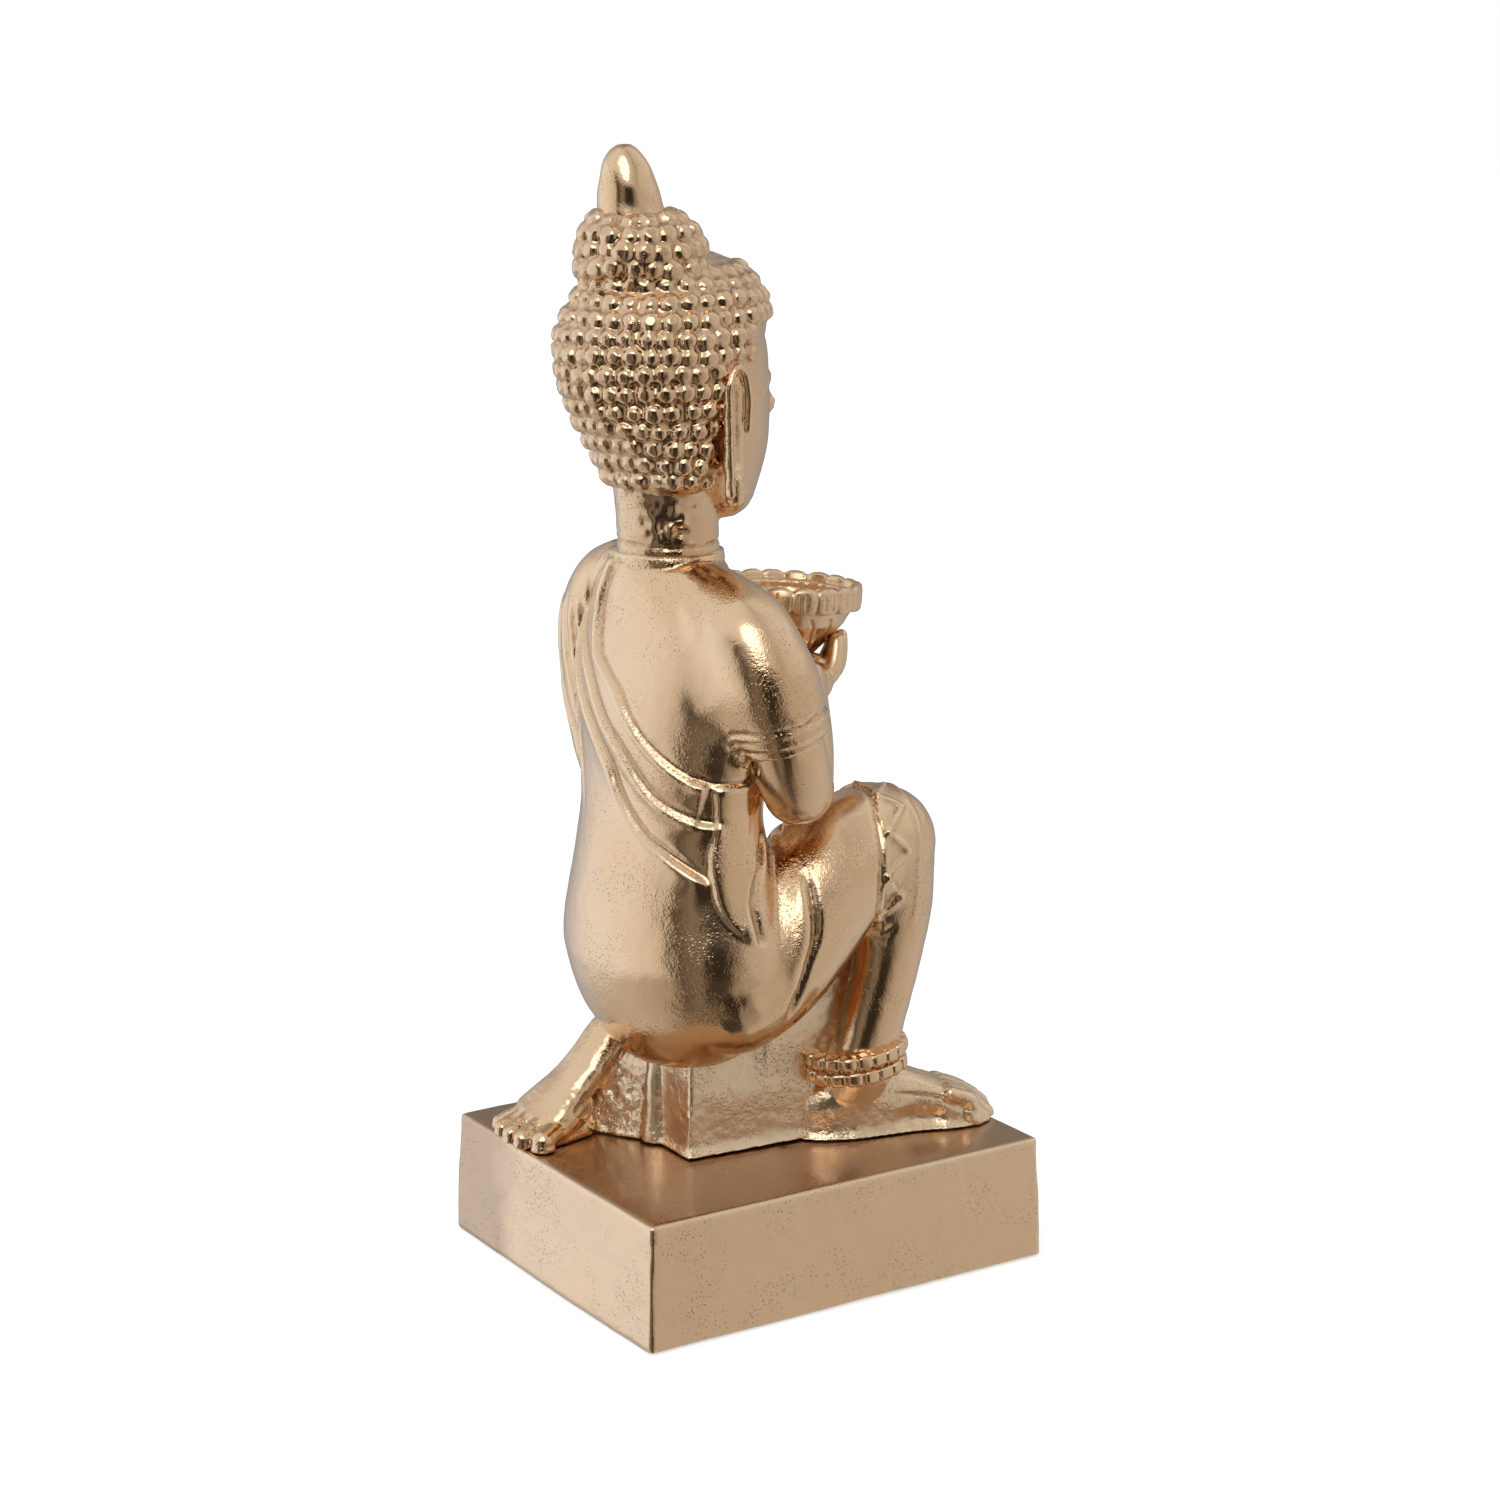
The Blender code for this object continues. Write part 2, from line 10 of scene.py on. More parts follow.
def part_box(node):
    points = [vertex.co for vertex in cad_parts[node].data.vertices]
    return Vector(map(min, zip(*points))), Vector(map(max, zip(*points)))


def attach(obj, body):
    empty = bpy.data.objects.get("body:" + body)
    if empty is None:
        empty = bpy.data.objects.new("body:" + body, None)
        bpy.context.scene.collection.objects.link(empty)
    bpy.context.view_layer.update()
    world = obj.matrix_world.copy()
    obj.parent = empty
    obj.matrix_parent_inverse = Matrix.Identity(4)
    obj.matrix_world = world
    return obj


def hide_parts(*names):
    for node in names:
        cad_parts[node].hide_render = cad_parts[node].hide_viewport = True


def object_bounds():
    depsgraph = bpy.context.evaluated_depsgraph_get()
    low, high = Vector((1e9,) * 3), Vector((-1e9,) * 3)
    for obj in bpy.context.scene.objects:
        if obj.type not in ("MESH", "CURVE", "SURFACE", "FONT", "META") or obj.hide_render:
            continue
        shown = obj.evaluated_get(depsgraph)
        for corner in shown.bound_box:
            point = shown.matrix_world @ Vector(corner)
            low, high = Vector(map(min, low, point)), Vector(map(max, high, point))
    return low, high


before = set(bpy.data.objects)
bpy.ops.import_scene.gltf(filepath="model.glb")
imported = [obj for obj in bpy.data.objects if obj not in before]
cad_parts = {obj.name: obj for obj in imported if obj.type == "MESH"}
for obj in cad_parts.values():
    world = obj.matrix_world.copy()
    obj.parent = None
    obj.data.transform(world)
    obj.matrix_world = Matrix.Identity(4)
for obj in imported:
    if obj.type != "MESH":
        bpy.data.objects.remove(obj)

MM = 0.001
cad_low, cad_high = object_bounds()


# ---- Plinth ----
# The plinth is a hollow rectangular box, sand cast in aluminium with an open underside and four bosses.
# Its faces are left as they come from the sand, pitted and a little uneven, and its edges are rubbed down
# before the whole statue is sprayed with tinted gold lacquer.

def feed(tree, node, links):
    """Gives each named or numbered input of a node its value, or a link to a socket."""
    for key, value in links.items():
        if isinstance(value, bpy.types.NodeSocket):
            tree.links.new(value, node.inputs[key])
        else:
            node.inputs[key].default_value = value
    return node


def put(tree, kind, links=None, **settings):
    """A new node with its settings and its inputs."""
    node = tree.nodes.new(kind)
    for key, value in settings.items():
        setattr(node, key, value)
    return feed(tree, node, links or {})


def maths(tree, operation, *values):
    return put(tree, "ShaderNodeMath", dict(enumerate(values)), operation=operation).outputs[0]


def ranged(tree, value, low, high, to_low=0.0, to_high=1.0, soft=False):
    """A value carried from one range into another, easing in and out where soft."""
    links = {"Value": value, "From Min": low, "From Max": high, "To Min": to_low, "To Max": to_high}
    easing = "SMOOTHSTEP" if soft else "LINEAR"
    return put(tree, "ShaderNodeMapRange", links, interpolation_type=easing).outputs[0]


def mixed(tree, share, first, second):
    """A colour between two, or all of the second where the share is 1."""
    return put(tree, "ShaderNodeMix", {"Factor": share, 6: first, 7: second}, data_type="RGBA").outputs[2]


def noisy(tree, place, scale, detail, roughness=0.5):
    links = {"Vector": place, "Scale": scale, "Detail": detail, "Roughness": roughness}
    return put(tree, "ShaderNodeTexNoise", links).outputs[0]


def bumped(tree, height, depth):
    """Normals for a relief this many mm deep."""
    return put(tree, "ShaderNodeBump", {"Height": height, "Distance": depth * MM}).outputs[0]


def socketed_group(kind, name, takes, gives):
    """An empty node group with its inputs, each with a starting value, and its outputs."""
    group = bpy.data.node_groups.new(name, kind)
    for label, sort, value in takes:
        socket = group.interface.new_socket(label, in_out="INPUT", socket_type="NodeSocket" + sort)
        if value is not None:
            socket.default_value = value
    for label, sort in gives:
        group.interface.new_socket(label, in_out="OUTPUT", socket_type="NodeSocket" + sort)
    return group, group.nodes.new("NodeGroupInput").outputs, group.nodes.new("NodeGroupOutput")


def sand_pitting():
    """The skin that moulding sand leaves: fine orange peel, scattered pin holes and slow clouds of polish."""
    group, given, made = socketed_group(
        "ShaderNodeTree", "Sand pitting",
        [("Vector", "Vector", None), ("Grain", "Float", 1.0), ("Coarse", "Float", 0.3)],
        [("Height", "Float"), ("Pits", "Float"), ("Cloud", "Float")])
    place = given["Vector"]
    fine = noisy(group, place, maths(group, "MULTIPLY", given["Grain"], 860.0), 2.0, 0.6)
    coarse = noisy(group, place, 330.0, 3.0)
    pit_scale = maths(group, "MULTIPLY", given["Grain"], 780.0)
    cells = put(group, "ShaderNodeTexVoronoi", {"Vector": place, "Scale": pit_scale})
    hole = ranged(group, cells.outputs["Distance"], 0.33, 0.12, soft=True)
    where = ranged(group, noisy(group, place, 55.0, 3.0), 0.44, 0.60, to_low=0.08)
    pits = maths(group, "MULTIPLY", hole, where)
    peel = maths(group, "MULTIPLY", fine, maths(group, "MULTIPLY_ADD", where, 2.3, 0.6))
    rough = maths(group, "MULTIPLY_ADD", coarse, given["Coarse"], peel)
    feed(group, made, {"Height": maths(group, "MULTIPLY_ADD", pits, -1.2, rough), "Pits": pits,
                       "Cloud": noisy(group, place, 24.0, 2.0)})
    return group


def rubbed_edges_and_shaded_hollows():
    """Where the buffing wheel reaches the high spots, and the hollows, browned for pooled lacquer and for
    painted shade.
    """
    group, given, made = socketed_group(
        "ShaderNodeTree", "Rubbed edges and shaded hollows", [("Reach", "Float", 0.06)], [("High", "Float"), ("Low", "Float")])
    shape = group.nodes.new("ShaderNodeNewGeometry").outputs["Pointiness"]
    top = maths(group, "ADD", 0.5, given["Reach"])
    bottom = maths(group, "SUBTRACT", 0.5, given["Reach"])
    feed(group, made, {"High": ranged(group, shape, 0.505, top, soft=True),
                       "Low": ranged(group, shape, 0.492, bottom, soft=True)})
    return group


def new_material(name):
    """A material, its node tree, its shader and its piece's own coordinates."""
    made = bpy.data.materials.new(name)
    made.use_nodes = True
    tree = made.node_tree
    return made, tree, tree.nodes["Principled BSDF"], tree.nodes.new("ShaderNodeTexCoord").outputs["Object"]


PITTING = sand_pitting()
EDGES_AND_SHADED_HOLLOWS = rubbed_edges_and_shaded_hollows()
CHAMPAGNE = (0.76, 0.49, 0.268, 1)
PALE_CHAMPAGNE = (0.90, 0.69, 0.45, 1)
# brown for lacquer in the pits and hollows; in the hollows it is also painted shade
BROWN_LACQUER_AND_SHADE = (0.25, 0.145, 0.075, 1)
# the brown mixed into the plinth's level top and into one end of its rear face
TOP_AND_END_BROWN = (0.40, 0.235, 0.125, 1)


def gold_cast(name, depth=0.08, grain=1.0, coarse=0.4, rough=(0.13, 0.22), tone=CHAMPAGNE):
    """Tinted lacquer on cast aluminium: pitted satin, brighter where rubbed, browner in the hollows for
    pooled lacquer and painted shade.
    """
    made, tree, shader, place = new_material(name)
    skin = put(tree, "ShaderNodeGroup", node_tree=PITTING)
    skin = feed(tree, skin, {"Vector": place, "Grain": grain, "Coarse": coarse}).outputs
    worn = put(tree, "ShaderNodeGroup", node_tree=EDGES_AND_SHADED_HOLLOWS).outputs
    body = mixed(tree, ranged(tree, skin["Cloud"], 0.35, 0.65, to_high=0.22), tone, PALE_CHAMPAGNE)
    # painted shade: the hollows are mixed towards brown, partly for lacquer pooled there
    hollow = mixed(tree, maths(tree, "MULTIPLY", worn["Low"], 0.62), body, BROWN_LACQUER_AND_SHADE)
    pitted = mixed(tree, maths(tree, "MULTIPLY", skin["Pits"], 0.5), hollow, BROWN_LACQUER_AND_SHADE)
    bright = mixed(tree, maths(tree, "MULTIPLY", worn["High"], 0.6), pitted, PALE_CHAMPAGNE)
    satin = ranged(tree, skin["Cloud"], 0.3, 0.7, *rough)
    feed(tree, shader, {"Base Color": bright, "Metallic": 1.0, "Coat Weight": 0.65, "Coat Roughness": 0.12,
                        "Roughness": maths(tree, "MULTIPLY_ADD", worn["High"], -0.08, satin),
                        "Normal": bumped(tree, skin["Height"], depth)})
    return made


def new_piece(name, mesh):
    obj = bpy.data.objects.new(name, mesh)
    bpy.context.scene.collection.objects.link(obj)
    return obj


def settled(obj):
    """The piece with its modifiers turned into plain mesh."""
    graph = bpy.context.evaluated_depsgraph_get()
    mesh = bpy.data.meshes.new_from_object(obj.evaluated_get(graph))
    obj.modifiers.clear()
    obj.data = mesh
    return obj


def one_skin(name, bm, voxel, relax):
    """One skin over overlapping shapes, as wax parts are blended into a pattern; the voxel is in mm."""
    mesh = bpy.data.meshes.new(name)
    bmesh.ops.recalc_face_normals(bm, faces=bm.faces)
    bm.to_mesh(mesh)
    bm.free()
    obj = new_piece(name, mesh)
    remesh = obj.modifiers.new("blend", "REMESH")
    remesh.mode = "VOXEL"
    remesh.voxel_size = voxel * MM
    smooth = obj.modifiers.new("relax", "SMOOTH")
    smooth.factor = 0.5
    smooth.iterations = relax
    return settled(obj)


def surface(obj):
    """Vertex places in mm, and vertex normals."""
    count = len(obj.data.vertices)
    places, normals = np.empty(count * 3), np.empty(count * 3)
    obj.data.vertices.foreach_get("co", places)
    obj.data.vertices.foreach_get("normal", normals)
    return places.reshape(-1, 3) / MM, normals.reshape(-1, 3)


def reshape(obj, places):
    obj.data.vertices.foreach_set("co", (places * MM).ravel())
    obj.data.update()


def uneven(places, normals, *coats):
    """Hand-rammed sand never leaves a true face: hills and hollows of each size, depth and seed."""
    for size, depth, seed in coats:
        hills = np.array([noise.noise(Vector(p)) for p in places / size + seed * 7.3])
        places = places + normals * (depth * hills)[:, None]
    return places


def finished(obj, material, node):
    """The piece, painted and smooth, in place of its node in the frame."""
    obj.data.materials.clear()
    obj.data.materials.append(material)
    obj.data.shade_smooth()
    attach(obj, "root")
    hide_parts(node)
    return obj


REAR_SINK, TOP_SKIN = 1.1, 0.2  # how far the rear face sinks in, and the top stays under its exact height

bm = bmesh.new()
bm.from_mesh(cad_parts["plinth"].data)
bmesh.ops.remove_doubles(bm, verts=bm.verts, dist=0.01 * MM)
plinth = one_skin("plinth_casting", bm, voxel=1.15, relax=3)
places, normals = surface(plinth)
low, high = (np.array(corner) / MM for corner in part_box("plinth"))
# the rear face keeps its full depth only low down, near its middle
bulge = np.exp(-((places[:, 0] + 10) / 38) ** 2) * np.clip(1.2 - places[:, 2] / 20, 0, 1)
on_rear = places[:, 1] > high[1] - 4
places[:, 1] -= np.where(on_rear, REAR_SINK * (1 - np.clip(bulge, 0, 1)), 0)
places = uneven(places, normals, (26, 0.35, 1), (6, 0.12, 2))
reshape(plinth, np.clip(places, low, high - (0, 0, TOP_SKIN)))
gold_plinth = gold_cast("gold_plinth", depth=0.08, grain=0.85, coarse=0.5, rough=(0.24, 0.36),
                        tone=(0.79, 0.52, 0.295, 1))


def browner_top_and_rear_end(material):
    """Browner on the level top and at one end of the rear face."""
    tree = material.node_tree
    shader = tree.nodes["Principled BSDF"]
    was = shader.inputs["Base Color"].links[0].from_socket
    place = tree.nodes.new("ShaderNodeTexCoord").outputs
    facing = put(tree, "ShaderNodeSeparateXYZ", {0: place["Normal"]}).outputs
    at = put(tree, "ShaderNodeSeparateXYZ", {0: place["Object"]}).outputs
    top = ranged(tree, facing["Z"], 0.6, 0.95, to_high=0.75)
    ragged = noisy(tree, place["Object"], 60.0, 4.0)
    edge = maths(tree, "MULTIPLY_ADD", ragged, 30 * MM, at["X"])
    end = ranged(tree, edge, 36 * MM, 60 * MM, to_high=0.6, soft=True)
    rear = ranged(tree, facing["Y"], 0.6, 0.95)
    # the level top and the high-x end of the rear face are mixed towards brown
    browning = maths(tree, "MULTIPLY_ADD", end, rear, top)
    feed(tree, shader, {"Base Color": mixed(tree, browning, was, TOP_AND_END_BROWN)})


browner_top_and_rear_end(gold_plinth)
finished(plinth, gold_plinth, "plinth")


# ---- Felt pads ----
# Four discs of dark self-adhesive felt, pressed onto the bosses inside the plinth's corners, so that the
# rim doesn't scratch what it stands on.

def felt():
    made, tree, shader, place = new_material("felt_pad_felt")
    fuzz = noisy(tree, place, 1800.0, 4.0, 0.7)
    tuft = noisy(tree, place, 260.0, 2.0)
    tone = ranged(tree, maths(tree, "MULTIPLY", fuzz, tuft), 0.1, 0.45)
    feed(tree, shader, {"Base Color": mixed(tree, tone, (0.03, 0.026, 0.022, 1), (0.09, 0.08, 0.07, 1)),
                        "Roughness": 0.95, "Sheen Weight": 0.3, "Normal": bumped(tree, fuzz, 0.2)})
    return made


def painted_nodes(starts, ends, material):
    """The exact pieces whose names start or end like this, shown as they are in a material."""
    for name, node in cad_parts.items():
        if name.startswith(starts) or name.endswith(ends):
            node.data.materials.clear()
            node.data.materials.append(material)


painted_nodes(("felt_pad",), (), felt())


# ---- Bolts, washers and pins ----
# Zinc-plated steel: five hexagon bolts with washers come up through the plinth into the figure, and plain
# pins and dowels hold the castings of the figure to each other.

def zinc_plate():
    made, tree, shader, place = new_material("zinc_plated_steel")
    bloom = noisy(tree, place, 220.0, 4.0)
    spangle = put(tree, "ShaderNodeTexVoronoi", {"Vector": place, "Scale": 480.0})
    tone = ranged(tree, bloom, 0.35, 0.65)
    feed(tree, shader, {"Base Color": mixed(tree, tone, (0.50, 0.51, 0.52, 1), (0.70, 0.70, 0.66, 1)),
                        "Roughness": ranged(tree, spangle.outputs["Distance"], 0.0, 0.6, 0.28, 0.45),
                        "Metallic": 1.0, "Normal": bumped(tree, bloom, 0.03)})
    return made


painted_nodes(("bolt_", "washer_"), ("_pin", "_dowel"), zinc_plate())


# ---- Seat block ----
# The block that carries the hips, with a thin slab running forward between the right thigh and shin. It is
# cast with the figure's underside, never buffed, so it keeps the roughest sand skin and a soft foot.

def smooth_curve(stops, per_stop):
    """Places along a smooth curve through the stops, with any number of values in each."""
    stops = np.array(stops, float)
    rows = np.vstack([stops[:1], stops, stops[-1:]])
    t = (np.arange(per_stop) / per_stop)[:, None]
    made = []
    for a, b, c, d in zip(rows, rows[1:], rows[2:], rows[3:]):
        made.append(0.5 * (2 * b + (c - a) * t + (2 * a - 5 * b + 4 * c - d) * t ** 2
                           + (3 * b - a - 3 * c + d) * t ** 3))
    return np.vstack(made + [stops[-1:]])


def skin_rings(bm, rings, closed=True):
    """A skin over rings of places in mm, with a face at each end or joined round from last to first."""
    verts = [[bm.verts.new(Vector(place) * MM) for place in ring] for ring in rings]
    around = len(verts[0])
    for low_ring, high_ring in zip(verts, verts[1:] if closed else verts[1:] + verts[:1]):
        for i in range(around):
            j = (i + 1) % around
            bm.faces.new((low_ring[i], low_ring[j], high_ring[j], high_ring[i]))
    if closed:
        bm.faces.new(verts[0][::-1])
        bm.faces.new(verts[-1])


def limb(bm, stations, per_stop=8, around=40, side=(1, 0, 0), mirror=False, ends=(True, True)):
    """A limb through x, y, z, half width and half depth, its ends rounded or cut square."""
    rows = smooth_curve(stations, per_stop)
    if mirror:
        rows[:, 0] *= -1
    middles, sizes = rows[:, :3], np.maximum(rows[:, 3:5], 0.4)
    along = np.gradient(middles, axis=0)
    along /= np.linalg.norm(along, axis=1)[:, None]
    turn = np.linspace(0, math.tau, around, endpoint=False)
    caps = np.radians([80, 62, 45, 30, 15])
    spots = [(middles[0] - along[0] * math.sin(a) * sizes[0].min(), along[0], sizes[0] * math.cos(a))
             for a in caps if ends[0]]
    spots += list(zip(middles, along, sizes))
    spots += [(middles[-1] + along[-1] * math.sin(a) * sizes[-1].min(), along[-1], sizes[-1] * math.cos(a))
              for a in caps[::-1] if ends[1]]
    rings = []
    for middle, way, (wide, deep) in spots:
        across = np.array(side, float) - way * np.dot(way, side)
        across /= np.linalg.norm(across)
        up = np.cross(way, across)
        rings.append(middle + np.outer(np.cos(turn) * wide, across) + np.outer(np.sin(turn) * deep, up))
    skin_rings(bm, rings)


def prism(bm, corners, levels):
    """A block through levels of (height, how far its corners spread out from their own middle)."""
    corners = np.array(corners, float)
    outward = np.sign(corners - corners.mean(0))
    skin_rings(bm, [np.c_[corners + outward * spread, np.full(len(corners), z)] for z, spread in levels])


figure_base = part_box("seat_block")[0].z / MM
SKIRT = [(figure_base, 2.6), (figure_base + 1.0, 1.2), (figure_base + 3.5, 0.2)]
# the rough web that braces the left foot against the block: height, then its two outer corners
WEB = [(figure_base, 7, 41.5, 31, 55.5), (figure_base + 2, 7.5, 40.2, 30.5, 54.5), (54, 8, 39, 29.5, 53),
       (64, 9, 37.6, 27.5, 48.5), (72, 10, 36, 26, 44), (80, 11, 34, 25, 39)]
# the smooth rib beside the web
RIB = [(3.6, 36.2, figure_base, 5.4, 5.4), (3.6, 35.8, 54, 4.6, 4.6), (4.4, 34.8, 66, 4.2, 4.2),
       (5, 33.6, 76, 4.0, 4.0)]
bm = bmesh.new()
prism(bm, [(-24.6, -18), (19, -18), (19, 35.4), (-19.4, 35.4)], SKIRT + [(84, -1.0)])
prism(bm, [(-25.0, -34), (-6, -34), (-6, 5), (-22.2, 5)], SKIRT + [(127, -0.8)])
skin_rings(bm, [[(x0, y0, z), (x1, y1, z), (x1 + 6, y1 - 9, z), (x0 + 2, 29, z)]
                for z, x0, y0, x1, y1 in WEB])
limb(bm, RIB, around=28, ends=(False, True))
seat = one_skin("seat_block_casting", bm, voxel=0.8, relax=3)
places, normals = surface(seat)
places = uneven(places, normals, (12, 0.5, 3), (2.6, 0.16, 4))
on_web = np.clip((places[:, 0] - 7) / 2, 0, 1) * np.clip((places[:, 1] - 36) / 2, 0, 1)
crumbly = uneven(places, normals, (5, 0.8, 22), (1.6, 0.4, 23))
places += (crumbly - places) * on_web[:, None]
places[:, 2] = np.maximum(places[:, 2], figure_base)
reshape(seat, places)
finished(seat, gold_cast("gold_seat_block", depth=0.13, grain=0.85, coarse=0.8, rough=(0.26, 0.36),
                         tone=(0.82, 0.60, 0.385, 1)), "seat_block")


# ---- Body ----
# Torso, robe, sleeves and both legs below the hips are one sand casting. The wax pattern is blended from
# simple solids, then the folds, hems and creases are cut into it. The joint with the neck is turned flat.

def stack(bm, sections, per_stop=8, around=72):
    """A skin through level sections: height, middle x and y, half width, depth behind, depth in front."""
    turn = np.linspace(0, math.tau, around, endpoint=False)
    rings = []
    for z, x, y, half, back, front in smooth_curve(sections, per_stop):
        depth = np.where(np.sin(turn) > 0, back, front)
        rings.append(np.c_[x + half * np.cos(turn), y + depth * np.sin(turn), np.full(around, z)])
    skin_rings(bm, rings)


def line_on(obj, stops, per_stop=14):
    """A smooth line laid onto a piece: its places, the surface normals there and the ways across it."""
    tree = BVHTree.FromObject(obj, bpy.context.evaluated_depsgraph_get())
    places, normals = [], []
    for stop in smooth_curve(stops, per_stop):
        place, normal, _, _ = tree.find_nearest(Vector(stop) * MM)
        places.append(np.array(place) / MM)
        normals.append(np.array(normal))
    places, normals = np.array(places), np.array(normals)
    along = np.gradient(places, axis=0)
    along /= np.linalg.norm(along, axis=1)[:, None] + 1e-9
    across = np.cross(normals, along)
    across /= np.linalg.norm(across, axis=1)[:, None] + 1e-9
    return places, normals, across


AT_ONCE = 4000  # vertices handled together, to hold the memory down


def pressed(places, normals, line, shape, height, reach, fade):
    """Moves the surface near a line by height times shape(distance across it), fading at both ends."""
    spots, facing, across = line
    last = len(spots) - 1
    inside = np.all((places > spots.min(0) - reach) & (places < spots.max(0) + reach), axis=1)
    index = np.nonzero(inside)[0]
    moved = places.copy()
    for part in np.array_split(index, max(1, len(index) // AT_ONCE)):
        away = places[part][:, None] - spots[None]
        distance = (away ** 2).sum(2)
        closest = distance.argmin(1)
        rows = np.arange(len(part))
        beside = (away[rows, closest] * across[closest]).sum(1)
        near = np.sqrt(distance[rows, closest])
        if fade:
            taper = np.clip(np.minimum(closest / last, 1 - closest / last) / fade, 0, 1)
            taper = taper * taper * (3 - 2 * taper)
        else:
            taper = np.where((closest == 0) | (closest == last), near < 1.0, 1.0)
        agree = np.clip((normals[part] * facing[closest]).sum(1) * 2, 0, 1)
        beyond = np.clip((near - np.abs(beside) - 1.5) / 1.5, 0, 1)
        push = height * shape(beside) * taper * agree * (near < reach) * (1 - beyond)
        moved[part] += normals[part] * push[:, None]
    return moved


def worked(obj, lines=(), coats=(), low=-math.inf, high=math.inf):
    """Presses lines (stops, shape, height, reach, fade) into a piece, roughens it and holds its limits."""
    places, normals = surface(obj)
    for stops, shape, height, reach, fade, *per_stop in lines:
        places = pressed(places, normals, line_on(obj, stops, *per_stop), shape, height, reach, fade)
    reshape(obj, np.clip(uneven(places, normals, *coats), low, high))


def ridge(width):
    return lambda d: np.exp(-(d / width) ** 2)


def fold(soft, sharp):
    """A fold that falls away slowly on its left-hand side and steeply, with a crease, on the other."""
    return lambda d: (np.where(d > 0, np.exp(-np.abs(d) / soft) * (1 - 0.3 * np.exp(-np.abs(d) / 1.5)),
                               0.7 * np.exp(-(d / sharp) ** 2))
                      - 0.5 * np.exp(-((d + 1.9 * sharp) / (1.1 * sharp)) ** 2))


def hem(thick, far):
    """Cloth that starts sharply on the left-hand side of its edge and thins out over a distance."""
    return lambda d: (np.where(d > 0, np.exp(-(d / far) ** 2), np.exp(-(d / thick) ** 2))
                      + 0.35 * np.exp(-((d - 1.0) / 0.9) ** 2) - 0.3 * np.exp(-((d + 1.8) / 0.8) ** 2))


def step(rise, far):
    """A panel whose edge stands up softly on the left-hand side of a line and thins out over a distance."""
    return lambda d: np.where(d > 0, np.exp(-(d / far) ** 2), np.exp(-(d / rise) ** 2))


TORSO = [
    (77, 0, 30, 10, 9, 9), (81, 0, 29, 26, 18.5, 19), (90, 0, 28, 38, 26.5, 27), (99, 0, 28, 45, 31.5, 32),
    (112, 0, 27, 51, 36, 35), (125, 0, 27, 53, 37, 34), (150, 0, 28, 47, 33, 27.5),
    (172, 0, 29, 42.5, 29, 25), (195, 0, 28, 45, 29.5, 29), (212, 0, 27, 48.5, 30.5, 28),
    (228, 0, 26, 50.5, 28.5, 21), (240, 0, 27, 46.5, 25, 16), (250, 0, 30, 33, 21.5, 18.5),
    (258, 0, 31, 22, 19.5, 19), (268, 0, 31, 18.8, 18.8, 19),
]
SLEEVE = [(22, 29, 246, 14, 14), (40, 27, 239, 16, 16), (46, 25, 231, 17, 17), (50, 22, 220, 17.6, 17.6),
          (50.5, 18.5, 210, 16.6, 16.6), (50.3, 15.5, 201.5, 15.8, 15.8)]
ROBE_DRAPE = [
    (21, 35, 253, 11, 11), (33, 35, 244, 14.5, 14), (41, 34.5, 230, 15, 14.5), (41.5, 35, 212, 14, 13.5),
    (39, 35, 198, 13, 12.8), (36, 34.5, 184, 12, 12), (31, 33, 168, 10, 10), (26, 32, 154, 9, 9),
]
RIGHT_THIGH = [(-25, 24, 111, 28.5, 26), (-28, 9, 121, 26.5, 26), (-30, -12, 142, 24, 24),
               (-30, -30, 153.5, 21, 21.8), (-30, -38, 154.5, 20.3, 20.3)]
RIGHT_SHIN = [(-30, -38, 152, 20.3, 20.3), (-31, -42, 130, 15.2, 15.7), (-31, -40.5, 110, 12, 13),
              (-30, -36, 90, 11, 12.5), (-29, -33, 76, 10.5, 12.5)]
LEFT_THIGH = [(26, 22, 108, 27, 28), (30, 0, 92, 25, 25), (34, -25, 74, 21, 21), (36, -42, 66, 19, 19.5)]
LEFT_SHIN = [(36, -42, 65, 18, 18.5), (36, -10, 60, 14, 14.5), (33, 22, 61, 12.5, 13), (30, 42, 68, 10.5, 11)]
FILLET, PARINGS = 24, 6  # how far the shoulders are swollen to fill their valleys, and the cuts back


def filled_shoulders(bm):
    """Wax run into the valleys: the pattern swollen, then pared back in small cuts, between two heights."""
    pattern = one_skin("shoulders", bm, voxel=1.2, relax=2)
    tree = BVHTree.FromObject(pattern, bpy.context.evaluated_depsgraph_get())
    for amount in [FILLET] + [-FILLET / PARINGS] * PARINGS:
        swell = pattern.modifiers.new("swell", "DISPLACE")
        swell.mid_level = 0
        swell.strength = amount * MM
        blend = pattern.modifiers.new("blend", "REMESH")
        blend.mode = "VOXEL"
        blend.voxel_size = 1.4 * MM
        relax = pattern.modifiers.new("relax", "SMOOTH")
        relax.iterations = 1
        settled(pattern)
    places, _ = surface(pattern)
    before = np.array([tree.find_nearest(Vector(place) * MM)[0] for place in places]) / MM
    share = np.clip((places[:, 2] - 197) / 16, 0, 1) * np.clip((252 - places[:, 2]) / 14, 0, 1)
    reshape(pattern, before + (places - before) * share[:, None])
    mesh = pattern.data
    bpy.data.objects.remove(pattern)
    return mesh


def add_mesh(bm, mesh, shift=(0, 0, 0)):
    """Adds a plain mesh to the pattern, shifted in mm."""
    mesh.transform(Matrix.Translation(Vector(shift) * MM))
    bm.from_mesh(mesh)
    bpy.data.meshes.remove(mesh)


